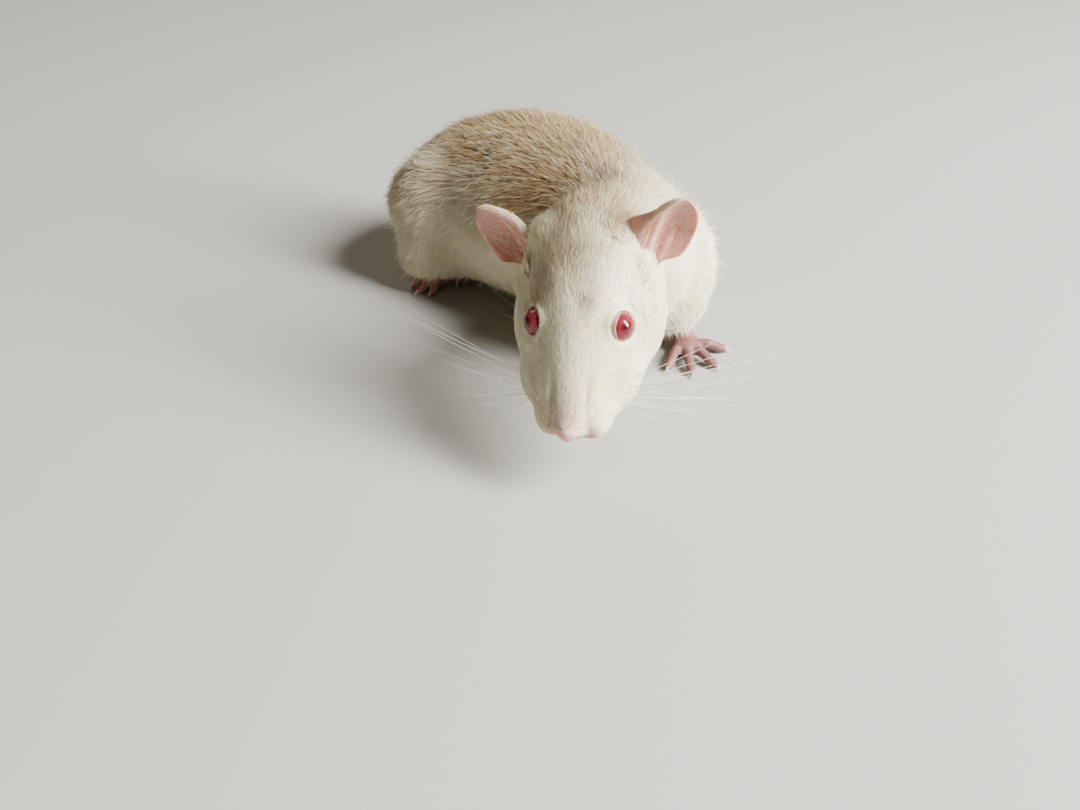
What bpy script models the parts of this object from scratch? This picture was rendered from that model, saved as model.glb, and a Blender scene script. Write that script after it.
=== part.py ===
"""A life-size pale rat crouched on the floor, its body bent in a C and its head turned out of the curve.

Metres, +Z up. The rump lies towards -X, the shoulders towards +X, and the head comes forward along -Y.
The floor is z = 0. Sizes below are in millimetres and are turned to metres by MM when a mesh is made.
"""

import math

import bmesh
import bpy
from mathutils import Matrix, Vector
from mathutils.bvhtree import BVHTree

MM = 0.001
GAP = 0.3  # between nodes that touch
THINNING = 0.1  # how far a thinned mesh may stray from its first shape
FAR = 50.0  # past anything that a cutter crosses
PLUG_SIDES = 32

# The head's own frame: x to the rat's left, y back from the nose tip, z up out of the crown.
NOSE_TIP = Vector((4.0, -81.0, 18.8))
HEAD_PITCH = 36.0  # nose down
HEAD_YAW = 10.5  # nose towards -X
HEAD_ROLL = 7.0  # crown towards -X
HEAD_VOXEL = 0.6
HEAD_SMOOTHING = 9
HEAD_TRIANGLES = 2600

EYE_RADIUS = 3.1
EYE_PLACE = Vector((9.1, 24.0, 6.4))
EYE_OUT = Vector((0.74, -0.30, 0.60))
LID_RADII = (4.1, 4.7, 4.1)  # of the mound that the lids make over the eye
LID_OPENING = (4.6, 4.2)  # half length and half height of the flat that the lids' rim lies in
LID_LIFT = 1.2  # of that rim out from the eye's centre

# Trunk stations from the rump to the nape: centre, half width, half height above and below the centre.
TRUNK = (
    ((-45.0, 30.5, 15.5), 5.0, 5.0, 5.0),
    ((-42.0, 29.8, 18.5), 11.0, 11.0, 12.5),
    ((-35.5, 28.8, 22.0), 16.0, 15.0, 20.5),
    ((-27.0, 27.5, 24.5), 19.8, 20.2, 25.0),
    ((-16.5, 24.5, 26.0), 23.5, 24.4, 27.0),
    ((-5.0, 19.0, 26.5), 26.0, 26.4, 27.5),
    ((5.0, 10.0, 26.5), 25.5, 26.0, 27.5),
    ((13.0, -2.0, 27.0), 22.2, 24.2, 27.0),
    ((19.0, -14.0, 30.0), 18.6, 20.8, 24.0),
    ((20.5, -25.0, 34.5), 17.0, 18.4, 20.0),
    ((17.5, -35.0, 40.0), 15.5, 16.0, 17.0),
    ((13.0, -42.0, 44.5), 14.8, 13.4, 14.5),
    ((10.0, -48.0, 42.5), 10.0, 10.0, 10.0),
)
TRUNK_SIDES = 40
TRUNK_VOXEL = 1.3
TRUNK_SMOOTHING = 5
TRUNK_TRIANGLES = 2600

# The block that holds the head alone, in the head's frame: its back is the nape, its floor runs under the throat.
HEAD_BLOCK = ((-35.0, -10.0, -16.5), (35.0, 43.5, 35.0))

# Where the body is parted: a point and the way the path runs there, forward to the head.
NECK_CUT = ((20.0, -18.0, 31.0), (0.10, -0.90, 0.42))
CHEST_CUT = ((0.5, 14.5, 27.0), (0.66, -0.75, 0.0))
LOIN_CUT = ((-22.0, 25.0, 26.0), (0.95, -0.30, 0.0))

# Skull stations: distance back from the nose tip, half width, top and bottom.
SKULL = (
    (0.4, 2.4, 2.6, -2.2),
    (3.0, 4.8, 4.6, -4.4),
    (8.0, 7.2, 6.9, -6.6),
    (14.0, 9.0, 9.0, -8.4),
    (20.0, 10.6, 11.0, -10.0),
    (26.0, 12.4, 12.8, -11.4),
    (33.0, 14.2, 14.2, -12.8),
    (40.0, 15.0, 14.8, -13.6),
    (47.0, 14.6, 14.4, -13.8),
    (53.0, 11.0, 11.5, -11.5),
    (56.5, 5.0, 6.0, -6.0),
)

SKULL_SIDES = 36

# Masses that swell out of the skull on each side: centre, radii.
HEAD_MASSES = (
    ((8.3, 31.0, -3.5), (9.4, 15.5, 9.6)),  # cheek
    ((6.7, 18.5, -2.6), (7.7, 12.0, 7.0)),  # side of the muzzle
    ((4.5, 8.4, -1.8), (4.8, 7.4, 4.8)),  # whisker pad
    ((7.6, 24.5, 4.8), (4.0, 6.5, 4.0)),  # brow round the eye
    ((8.4, 24.0, 2.4), (4.4, 8.0, 4.6)),  # under the eye
)
CHIN = ((0.0, 9.3, -6.6), (4.0, 6.0, 2.8))
NOSE_PAD = ((0.0, 1.4, 1.2), (3.2, 2.6, 2.7))

# The line of the mouth runs from one corner under the muzzle, round the front, to the other corner.
MOUTH_HALF_WIDTH = 4.6
MOUTH_CORNER_BACK = 13.5
MOUTH_FRONT_BACK = 4.2
MOUTH_STEPS = 14
MOUTH_RADIUS = 0.42
LIP_RADIUS = 0.85
LIP_APART = 0.95  # of each lip's middle from the line
LIP_SUNK = 0.35
NOSTRIL_PLACE = Vector((1.9, -0.3, 1.0))
NOSTRIL_RADII = (0.75, 1.5, 0.55)

# Ears: root on the head, way to the tip, way that the cup opens, all in the head's frame.
EARS = {
    "ear_left": ((12.8, 39.5, 4.8), (0.49, 0.55, 0.67), (0.50, -0.73, 0.47)),
    "ear_right": ((-13.0, 39.0, 4.4), (-0.74, 0.59, 0.33), (-0.40, -0.82, 0.40)),
}
EAR_LENGTH = 17.4
EAR_HALF_WIDTH = 7.2  # measured round its bend
EAR_WIDEST = 0.45  # share of the length from the root
EAR_ROOT_WIDTH = 0.62  # share of the widest part
EAR_BOW = 2.0  # of the blade's back, away from its opening
EAR_THICK = 0.75
EAR_ROOT_BEND = 112.0  # half angle of the rolled root
EAR_TIP_BEND = 42.0  # half angle of the open blade
EAR_UNROLLED = 0.62  # share of the length by which the blade is open
EAR_ROWS = 10
EAR_COLUMNS = 10

# Shoulders and thighs: centre, radii, turn about z in degrees, and which way is outward.
LIMB_MASSES = {
    "foreleg_left": ((33.8, -13.0, 22.5), (14.5, 11.5, 19.0), -80.0),
    "foreleg_right": ((7.0, -14.0, 22.0), (14.0, 9.5, 18.0), -105.0),
    "hindleg_right": ((-31.0, 19.0, 23.5), (16.0, 11.5, 19.5), -8.0),
    "hindleg_right_thigh": ((-34.0, 17.0, 12.0), (11.5, 10.0, 9.5), -8.0),
    "hindleg_left": ((-22.0, 37.5, 25.0), (16.0, 11.5, 19.5), -14.0),
}
LOWER_LIMBS = {
    "foreleg_left": (((35.0, -10.0, 17.0), 8.0), ((38.5, -11.5, 10.0), 5.6), ((39.7, -13.5, 5.3), 3.9)),
    "foreleg_right": (((8.0, -18.0, 16.0), 7.5), ((9.0, -21.0, 9.5), 5.4), ((9.5, -24.0, 5.5), 3.6)),
    "hindleg_left": (((-22.0, 37.0, 15.0), 10.0), ((-22.5, 43.0, 10.0), 7.5), ((-22.5, 46.5, 7.5), 5.2)),
}

# The cut that frees a limb is an oval hole that runs outward: its centre, half width, half height, way out.
LIMB_CUTS = {
    "foreleg_left": ((31.0, -12.4, 15.5), 12.8, 22.0, (0.98, -0.15, 0.0)),
    "foreleg_right": ((9.0, -17.0, 15.0), 11.5, 21.5, (-0.93, -0.36, 0.0)),
    "hindleg_right": ((-30.5, 18.5, 22.5), 14.5, 18.5, (-0.15, -0.99, 0.0)),
    "hindleg_left": ((-22.0, 37.5, 21.5), 14.0, 16.5, (0.25, 0.97, 0.0)),
}

# Paws: wrist or heel on the floor, way that the toes point in degrees from -Y towards +X, left or right.
FORE_PAWS = {
    "forepaw_left": ((37.5, -15.0), 12.0, 1),
    "forepaw_right": ((9.5, -26.5), -12.0, -1),
}
HIND_PAWS = {
    "hindpaw_right": ((-21.0, 35.0), -37.0, -1),
    "hindpaw_left": ((-22.0, 47.0), 98.0, 1),
}

# Each bar of a paw: points with the radius there, in the paw's own frame, toes along +Y.
WRIST = (((0.0, 0.0, 8.0), 3.3), ((0.0, 1.0, 5.0), 3.1), ((0.0, 3.5, 3.2), 2.8))
ANKLE = (((0.0, -1.0, 12.0), 4.2), ((0.0, 0.0, 7.0), 3.5), ((0.0, 2.0, 2.8), 2.4))
SOLE = (
    ((0.0, -3.0, 3.4), 2.2),
    ((0.0, 0.0, 2.6), 3.6),
    ((0.0, 6.0, 2.4), 3.6),
    ((0.0, 14.0, 2.2), 4.1),
    ((0.0, 22.0, 1.9), 4.2),
    ((0.0, 24.0, 1.7), 3.0),
)
SOLE_FLATNESS = 0.62

# Toes: root across and along, splay in degrees, length.
FORE_TOES = ((-3.1, 6.2, -70.0, 8.4), (-1.4, 8.4, -26.0, 9.0), (1.0, 8.8, 8.0, 9.4), (3.0, 7.2, 36.0, 8.8))
FORE_TOE_RADIUS = 1.45
HIND_TOES = (
    (-3.3, 17.5, -30.0, 6.6),
    (-1.9, 21.0, -11.0, 9.4),
    (0.0, 21.8, 1.0, 10.0),
    (1.9, 21.0, 13.0, 9.2),
    (3.4, 15.5, 34.0, 5.6),
)
HIND_TOE_RADIUS = 1.2

# Stations of a toe: share of its length, rise over the height that its radius gives, share of its radius.
TOE_STATIONS = ((-0.25, 0.7, 1.1), (0.35, 1.3, 1.0), (0.8, 0.0, 0.98), (1.0, -0.2, 0.62))
CLAW_LENGTH = 1.4
CLAW_RADII = (0.5, 0.38, 0.1)

# The tail lies on the floor round the back of the body: its route, and its radius there.
TAIL = (
    ((-36.5, 30.0, 15.0), 4.9),
    ((-42.0, 34.5, 11.0), 4.8),
    ((-44.5, 43.0, 7.0), 4.4),
    ((-43.0, 54.0, 4.4), 4.1),
    ((-33.5, 66.5, 3.6), 3.7),
    ((-13.0, 74.0, 3.1), 3.3),
    ((8.0, 73.5, 2.7), 2.9),
    ((27.5, 64.5, 2.3), 2.5),
    ((41.0, 49.0, 1.9), 2.1),
    ((47.0, 31.0, 1.4), 1.6),
    ((45.5, 14.0, 0.8), 0.9),
)
TAIL_NODES = 4
TAIL_STEPS = 4
TAIL_SIDES = 12

COATS = {
    "coat": ((0.86, 0.80, 0.68, 1.0), 0.85),
    "bare_skin": ((0.86, 0.60, 0.56, 1.0), 0.55),
    "eye": ((0.45, 0.03, 0.06, 1.0), 0.05),
}


def turn(degrees, axis):
    return Matrix.Rotation(math.radians(degrees), 3, axis)


def head_turn():
    """The rotation from the head's frame to the model's."""
    return turn(-HEAD_YAW, "Z") @ turn(HEAD_PITCH, "X") @ turn(-HEAD_ROLL, "Y")


def from_head(point):
    return NOSE_TIP + head_turn() @ Vector(point)


def clear_scene():
    for obj in list(bpy.data.objects):
        bpy.data.objects.remove(obj)


def new_object(name, bm):
    mesh = bpy.data.meshes.new(name)
    bm.to_mesh(mesh)
    bm.free()
    obj = bpy.data.objects.new(name, mesh)
    bpy.context.scene.collection.objects.link(obj)
    return obj


def discard(*objects):
    for obj in objects:
        bpy.data.objects.remove(obj)


def apply_modifiers(obj):
    """Turns what the modifiers make into the object's own mesh."""
    graph = bpy.context.evaluated_depsgraph_get()
    mesh = bpy.data.meshes.new_from_object(obj.evaluated_get(graph))
    obj.modifiers.clear()
    obj.data = mesh


def copy_of(obj, name="copy"):
    twin = obj.copy()
    twin.data = obj.data.copy()
    twin.name = name
    bpy.context.scene.collection.objects.link(twin)
    return twin


def catmull_rom(a, b, c, d, t):
    """The value at t on the way from b to c, with a before them and d after."""
    linear = (c - a) * t
    square = (2 * a - 5 * b + 4 * c - d) * t**2
    cube = (3 * b - a - 3 * c + d) * t**3
    return 0.5 * (2 * b + linear + square + cube)


def smooth_rows(rows, per_gap):
    """Smooth rows through the given rows of numbers, with per_gap steps in each gap."""
    out = []
    last = len(rows) - 1
    for i in range(last):
        near, far = rows[i], rows[i + 1]
        before = rows[i - 1] if i else [2 * a - b for a, b in zip(near, far)]
        after = rows[i + 2] if i + 2 <= last else [2 * b - a for a, b in zip(near, far)]
        for k in range(per_gap):
            out.append([catmull_rom(*values, k / per_gap) for values in zip(before, near, far, after)])
    out.append(list(rows[last]))
    return out


def oval(centre, side, up, half_width, top, bottom, count):
    """A ring of points with its own height above and below the centre."""
    ring = []
    for k in range(count):
        angle = 2 * math.pi * k / count
        rise = math.sin(angle)
        height = rise * (top if rise > 0 else bottom)
        ring.append(centre + side * (half_width * math.cos(angle)) + up * height)
    return ring


def points_of(bar):
    return [Vector(point) for point, _ in bar]


def radii_of(bar):
    return [radius for _, radius in bar]


def loft(name, rings):
    """A closed skin through rings of points, given in millimetres."""
    bm = bmesh.new()
    loops = [[bm.verts.new(p * MM) for p in ring] for ring in rings]
    for near, far in zip(loops, loops[1:]):
        for k in range(len(near)):
            following = (k + 1) % len(near)
            bm.faces.new((near[k], near[following], far[following], far[k]))
    bm.faces.new(loops[0])
    bm.faces.new(loops[-1])
    bmesh.ops.recalc_face_normals(bm, faces=bm.faces)
    return new_object(name, bm)


def path_loft(name, rows, count, per_gap):
    """A loft along a path: each row is x, y, z, half width, top and bottom."""
    fine = smooth_rows(rows, per_gap)
    centres = [Vector(row[:3]) for row in fine]
    rings = []
    for k, row in enumerate(fine):
        along = (centres[min(k + 1, len(fine) - 1)] - centres[max(k - 1, 0)]).normalized()
        side = along.cross(Vector((0, 0, 1))).normalized()
        rings.append(oval(centres[k], side, side.cross(along), row[3], row[4], row[5], count))
    return loft(name, rings)


def ball(name, centre, radii, rotation=None, segments=24, rings=14, grow=0.0):
    """An ellipsoid, swollen by grow."""
    place = (rotation or Matrix.Identity(3)).to_4x4()
    place.translation = Vector(centre) * MM
    bm = bmesh.new()
    bmesh.ops.create_uvsphere(
        bm,
        u_segments=segments,
        v_segments=rings,
        radius=MM,
        matrix=place @ Matrix.Diagonal((*(radius + grow for radius in radii), 1.0)),
    )
    return new_object(name, bm)


def plug(name, centre, half_width, half_height, outward, reach_in):
    """An oval cylinder to cut with, from reach_in inside the centre to well outside."""
    out = Vector(outward).normalized()
    side = out.cross(Vector((0, 0, 1))).normalized()
    up = side.cross(out)
    start = Vector(centre) - out * reach_in
    sizes = (half_width, half_height, half_height, PLUG_SIDES)
    return loft(name, [oval(start, side, up, *sizes), oval(start + out * FAR, side, up, *sizes)])


def swollen(obj, by=GAP):
    """A copy that stands by millimetres proud of the object, to cut its neighbours with."""
    twin = copy_of(obj, "swollen")
    push = twin.modifiers.new("push", "DISPLACE")
    push.strength = by * MM
    push.mid_level = 0.0
    apply_modifiers(twin)
    return twin


def boolean(obj, other, operation):
    step = obj.modifiers.new("cut", "BOOLEAN")
    step.operation = operation
    step.solver = "EXACT"
    step.object = other
    apply_modifiers(obj)
    return obj


def keep_side(obj, point, normal):
    """Keeps what lies on the side that normal points to, and closes the cut."""
    bm = bmesh.new()
    bm.from_mesh(obj.data)
    bmesh.ops.bisect_plane(
        bm,
        geom=[*bm.verts, *bm.edges, *bm.faces],
        dist=1e-8,
        plane_co=Vector(point) * MM,
        plane_no=Vector(normal).normalized(),
        clear_inner=True,
    )
    rim = [e for e in bm.edges if e.is_boundary]
    bmesh.ops.holes_fill(bm, edges=rim, sides=0)
    bmesh.ops.recalc_face_normals(bm, faces=bm.faces)
    bm.to_mesh(obj.data)
    bm.free()
    return obj


def on_floor(obj):
    """Cuts off what is under the floor, which leaves flats at one level."""
    return keep_side(obj, (0, 0, 0), (0, 0, 1))


def between(obj, name, behind=(), ahead=()):
    """The stretch of a body between cuts behind it and cuts ahead of it, half a gap short of each."""
    piece = copy_of(obj, name)
    for cuts, sign in ((behind, 1), (ahead, -1)):
        for point, way in cuts:
            inward = Vector(way).normalized() * sign
            keep_side(piece, Vector(point) + inward * (GAP / 2), inward)
    return piece


def largest_surface(obj):
    """Drops every loose scrap and keeps the largest closed surface."""
    bm = bmesh.new()
    bm.from_mesh(obj.data)
    left = set(bm.faces)
    groups = []
    while left:
        stack = [left.pop()]
        group = list(stack)
        while stack:
            face = stack.pop()
            near = {other for edge in face.edges for other in edge.link_faces} & left
            left -= near
            stack.extend(near)
            group.extend(near)
        groups.append(group)
    groups.sort(key=lambda group: sum(face.calc_area() for face in group))
    for group in groups[:-1]:
        bmesh.ops.delete(bm, geom=group, context="FACES")
    bm.to_mesh(obj.data)
    bm.free()
    return obj


def triangles(obj):
    return sum(len(face.vertices) - 2 for face in obj.data.polygons)


def thinned(obj, most):
    """Brings a mesh down to about most triangles."""
    thin = obj.modifiers.new("thin", "DECIMATE")
    thin.ratio = min(1.0, most / triangles(obj))
    apply_modifiers(obj)
    return largest_surface(obj)


def fused(name, objects, voxel, smoothing, most):
    """One smooth closed body from overlapping shapes, thinned to about most triangles."""
    bm = bmesh.new()
    for obj in objects:
        bm.from_mesh(obj.data)
    body = new_object(name, bm)
    remesh = body.modifiers.new("fuse", "REMESH")
    remesh.mode = "VOXEL"
    remesh.voxel_size = voxel * MM
    smooth = body.modifiers.new("smooth", "SMOOTH")
    smooth.factor = 0.5
    smooth.iterations = smoothing
    apply_modifiers(body)
    return thinned(body, most)


def in_head(obj):
    """Moves a mesh made in the head's frame to its place."""
    place = head_turn().to_4x4()
    place.translation = NOSE_TIP * MM
    obj.data.transform(place)
    return obj


def mirrored(point, side):
    return Vector((point[0] * side, point[1], point[2]))


def head_block(grow=0.0):
    """The block whose sides part the head from the neck and chest."""
    low, high = (Vector(corner) for corner in HEAD_BLOCK)
    sizes = high - low + Vector((2, 2, 2)) * grow
    bm = bmesh.new()
    place = Matrix.Translation((low + high) / 2 * MM) @ Matrix.Diagonal((*(sizes * MM), 1.0))
    bmesh.ops.create_cube(bm, size=1.0, matrix=place)
    return in_head(new_object("head_block", bm))


def trunk_shapes():
    rows = [(*centre, *sizes) for centre, *sizes in TRUNK]
    shapes = [path_loft("trunk", rows, TRUNK_SIDES, 3)]
    for name, (centre, radii, angle) in LIMB_MASSES.items():
        shapes.append(ball(name + "_mass", centre, radii, turn(angle, "Z")))
    for name, joints in LOWER_LIMBS.items():
        shapes.append(tube(name + "_lower", points_of(joints), radii_of(joints), 16))
    return shapes


def head_shapes():
    side, up = Vector((1, 0, 0)), Vector((0, 0, 1))
    rings = []
    for back, half_width, top, bottom in smooth_rows(SKULL, 3):
        rings.append(oval(Vector((0, back, 0)), side, up, half_width, top, -bottom, SKULL_SIDES))
    shapes = [loft("skull", rings), ball("chin", *CHIN), ball("nose_pad", *NOSE_PAD)]
    for centre, radii in HEAD_MASSES:
        shapes.extend(ball("mass", mirrored(centre, side), radii) for side in (-1, 1))
    return [in_head(shape) for shape in shapes]


def tube(name, points, radii, sides, flat=1.0, grow=0.0):
    """A round bar through points, with its own radius at each, swollen by grow."""
    points = list(points)
    points[0] = points[0] + (points[0] - points[1]).normalized() * grow
    points[-1] = points[-1] + (points[-1] - points[-2]).normalized() * grow
    rings = []
    for k, point in enumerate(points):
        along = (points[min(k + 1, len(points) - 1)] - points[max(k - 1, 0)]).normalized()
        helper = Vector((0, 0, 1)) if abs(along.z) < 0.9 else Vector((0, 1, 0))
        side = along.cross(helper).normalized()
        up = side.cross(along)
        height = radii[k] * flat + grow
        rings.append(oval(point, side, up, radii[k] + grow, height, height, sides))
    return loft(name, rings)


def union_of(name, shapes):
    """One closed body from overlapping closed shapes, by one Boolean on a collection."""
    group = bpy.data.collections.new(name + "_shapes")
    body = shapes[0]
    body.name = name
    for shape in shapes[1:]:
        bpy.context.scene.collection.objects.unlink(shape)
        group.objects.link(shape)
    join = body.modifiers.new("join", "BOOLEAN")
    join.operation = "UNION"
    join.operand_type = "COLLECTION"
    join.solver = "EXACT"
    join.collection = group
    apply_modifiers(body)
    discard(*shapes[1:])
    bpy.data.collections.remove(group)
    return largest_surface(body)


def mouth_line(head, outward, sunk):
    """Points on the underside of the muzzle from corner to corner, in the head's frame.

    The line is moved outward from the mouth's own, and sunk under the skin.
    """
    bm = bmesh.new()
    bm.from_mesh(head.data)
    tree = BVHTree.FromBMesh(bm)
    bm.free()
    half_width = MOUTH_HALF_WIDTH + outward
    length = MOUTH_CORNER_BACK - MOUTH_FRONT_BACK + outward
    up = head_turn() @ Vector((0, 0, 1))
    points = []
    for k in range(MOUTH_STEPS + 1):
        angle = math.pi * (k / MOUTH_STEPS - 0.5)
        flat = Vector((half_width * math.sin(angle), MOUTH_CORNER_BACK - length * math.cos(angle), 0))
        start = from_head(flat) - up * FAR
        hit = tree.ray_cast(start * MM, up)[0] / MM + up * sunk
        points.append(hit)
    return points


def mouth_tube(name, points, radius):
    """A bar along the mouth that thins out at its corners."""
    last = len(points) - 1
    radii = [radius * (0.35 + 0.65 * math.sin(math.pi * k / last) ** 0.5) for k in range(last + 1)]
    return tube(name, points, radii, 8)


def make_head(head):
    """Adds the lids and lips, then cuts the sockets, the eyes' openings, the nostrils and the mouth."""
    added = []
    for apart in (-LIP_APART, LIP_APART):
        added.append(mouth_tube("lip", mouth_line(head, apart, LIP_SUNK), LIP_RADIUS))
    cutters = [mouth_tube("mouth", mouth_line(head, 0.0, 0.0), MOUTH_RADIUS)]
    for side in (-1, 1):
        centre = mirrored(EYE_PLACE, side)
        added.append(in_head(ball("lids", centre, LID_RADII)))
        nostril = ball("nostril", mirrored(NOSTRIL_PLACE, side), NOSTRIL_RADII, turn(25 * side, "Z"), 10, 6)
        cutters.append(in_head(plug("opening", centre, *LID_OPENING, mirrored(EYE_OUT, side), -LID_LIFT)))
        cutters.append(in_head(ball("socket", centre, [EYE_RADIUS] * 3, grow=GAP)))
        cutters.append(in_head(nostril))
    head = union_of("head", [head, *added])
    for cutter in cutters:
        boolean(head, cutter, "DIFFERENCE")
    discard(*cutters)
    return largest_surface(head)


def make_eyes():
    eyes = []
    for name, side in (("eye_left", 1), ("eye_right", -1)):
        eyes.append(in_head(ball(name, mirrored(EYE_PLACE, side), [EYE_RADIUS] * 3, segments=16, rings=10)))
    return eyes


def ear_row(v):
    """Half the ear's width and half the angle of its bend at v, from 0 at the root to 1 at the tip."""
    if v > EAR_WIDEST:
        swell = math.sqrt(max(0.0, 1 - ((v - EAR_WIDEST) / (1 - EAR_WIDEST)) ** 2))
    else:
        swell = EAR_ROOT_WIDTH + (1 - EAR_ROOT_WIDTH) * math.sin(v / EAR_WIDEST * math.pi / 2)
    bend = EAR_ROOT_BEND + (EAR_TIP_BEND - EAR_ROOT_BEND) * min(1.0, v / EAR_UNROLLED)
    return max(EAR_HALF_WIDTH * swell, EAR_THICK / 2), math.radians(bend)


def make_ear(name, head):
    """A thin cup: a rolled root that opens into a round blade."""
    root, to_tip, opening = (Vector(v) for v in EARS[name])
    to_tip.normalize()
    opening = (opening - to_tip * opening.dot(to_tip)).normalized()
    across = to_tip.cross(opening)
    bm = bmesh.new()
    rows = []
    for i in range(EAR_ROWS + 1):
        v = math.sin(math.pi / 2 * i / EAR_ROWS)
        half_width, bend = ear_row(v)
        radius = half_width / bend
        centre = root + to_tip * (EAR_LENGTH * v) - opening * (EAR_BOW * math.sin(math.pi * v))
        row = []
        for k in range(EAR_COLUMNS + 1):
            s = 2 * k / EAR_COLUMNS - 1
            sideways = across * (radius * math.sin(s * bend))
            forward = opening * (radius * (1 - math.cos(s * bend)))
            row.append(bm.verts.new((centre + sideways + forward) * MM))
        rows.append(row)
    for near, far in zip(rows, rows[1:]):
        for k in range(EAR_COLUMNS):
            bm.faces.new((near[k], near[k + 1], far[k + 1], far[k]))
    ear = new_object(name, bm)
    wall = ear.modifiers.new("wall", "SOLIDIFY")
    wall.thickness = EAR_THICK * MM
    wall.offset = 0.0
    apply_modifiers(ear)
    in_head(ear)
    cutter = swollen(head)
    boolean(ear, cutter, "DIFFERENCE")
    discard(cutter)
    return largest_surface(ear)


def digit(x, y, angle, length, radius, grow):
    """A toe that rises to a knuckle and comes down to the floor, and its claw."""
    way = turn(-angle, "Z") @ Vector((0, 1, 0))
    root = Vector((x, y, radius))
    points = [root + way * (length * share) + Vector((0, 0, rise)) for share, rise, _ in TOE_STATIONS]
    shapes = [tube("toe", points, [radius * share for *_, share in TOE_STATIONS], 8, grow=grow)]
    if not grow:
        start = root + way * (length * 0.92)
        tip = root + way * (length + CLAW_LENGTH) - Vector((0, 0, radius * 0.75))
        middle = start.lerp(tip, 0.5) + Vector((0, 0, CLAW_RADII[1]))
        shapes.append(tube("claw", [start, middle, tip], CLAW_RADII, 4))
    return shapes


def place_paw(shapes, place, angle):
    """Turns a paw modelled along +Y so that its toes point from -Y towards +X by angle."""
    matrix = (turn(angle, "Z") @ turn(180, "Z")).to_4x4()
    matrix.translation = Vector((*place, 0)) * MM
    for shape in shapes:
        shape.data.transform(matrix)
    return shapes


def fore_paw(name, grow=0.0):
    """A spread forepaw under a bare wrist."""
    place, angle, side = FORE_PAWS[name]
    shapes = [
        ball("palm", (0, 5.0, 2.3), (4.2, 5.6, 2.5), segments=14, rings=8, grow=grow),
        tube("wrist", points_of(WRIST), radii_of(WRIST), 12, grow=grow),
    ]
    for x, y, way, length in FORE_TOES:
        shapes.extend(digit(x * side, y, way * side, length, FORE_TOE_RADIUS, grow))
    return union_of(name, place_paw(shapes, place, angle))


def hind_paw(name, grow=0.0):
    """A long hind foot, heel down, under a bare ankle."""
    place, angle, side = HIND_PAWS[name]
    shapes = [
        tube("sole", points_of(SOLE), radii_of(SOLE), 14, SOLE_FLATNESS, grow=grow),
        tube("ankle", points_of(ANKLE), radii_of(ANKLE), 12, grow=grow),
    ]
    for x, y, way, length in HIND_TOES:
        shapes.extend(digit(x * side, y, way * side, length, HIND_TOE_RADIUS, grow))
    return union_of(name, place_paw(shapes, place, angle))


def tail_rows():
    """Fine stations of the tail: point and radius."""
    fine = smooth_rows([(*point, radius) for point, radius in TAIL], TAIL_STEPS)
    return [(Vector(row[:3]), row[3]) for row in fine]


def tail_bar(grow=0.0):
    """The whole tail, as one tapered bar pressed on the floor."""
    rows = tail_rows()
    return tube("tail", points_of(rows), radii_of(rows), TAIL_SIDES, grow=grow)


def tail_cuts():
    """Where the tail is parted, at even steps along its route."""
    points = points_of(tail_rows())
    marks = [round((len(points) - 1) * k / TAIL_NODES) for k in range(1, TAIL_NODES)]
    return [(points[m], points[m + 1] - points[m - 1]) for m in marks]


def part_tail(tail):
    """Each length is what lies between two cuts."""
    pieces, cuts = [], tail_cuts()
    for k in range(len(cuts) + 1):
        pieces.append(between(tail, f"tail_{k + 1}", behind=cuts[:k][-1:], ahead=cuts[k:][:1]))
    discard(tail)
    return pieces


def cut_free(pieces, cutter):
    """Makes room in the pieces for a neighbour, by its swollen shape."""
    for piece in pieces:
        boolean(piece, cutter, "DIFFERENCE")
    discard(cutter)


def middle_of(nodes):
    """An empty that brings the middle of the nodes' box to the origin, with the floor at z = 0."""
    root = bpy.data.objects.new("rat", None)
    bpy.context.scene.collection.objects.link(root)
    for axis in (0, 1):
        values = [vertex.co[axis] for node in nodes for vertex in node.data.vertices]
        root.location[axis] = -(min(values) + max(values)) / 2
    return root


def material(name):
    colour, roughness = COATS[name]
    made = bpy.data.materials.new(name)
    made.use_nodes = True
    shader = made.node_tree.nodes["Principled BSDF"]
    shader.inputs["Base Color"].default_value = colour
    shader.inputs["Roughness"].default_value = roughness
    return made


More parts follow.
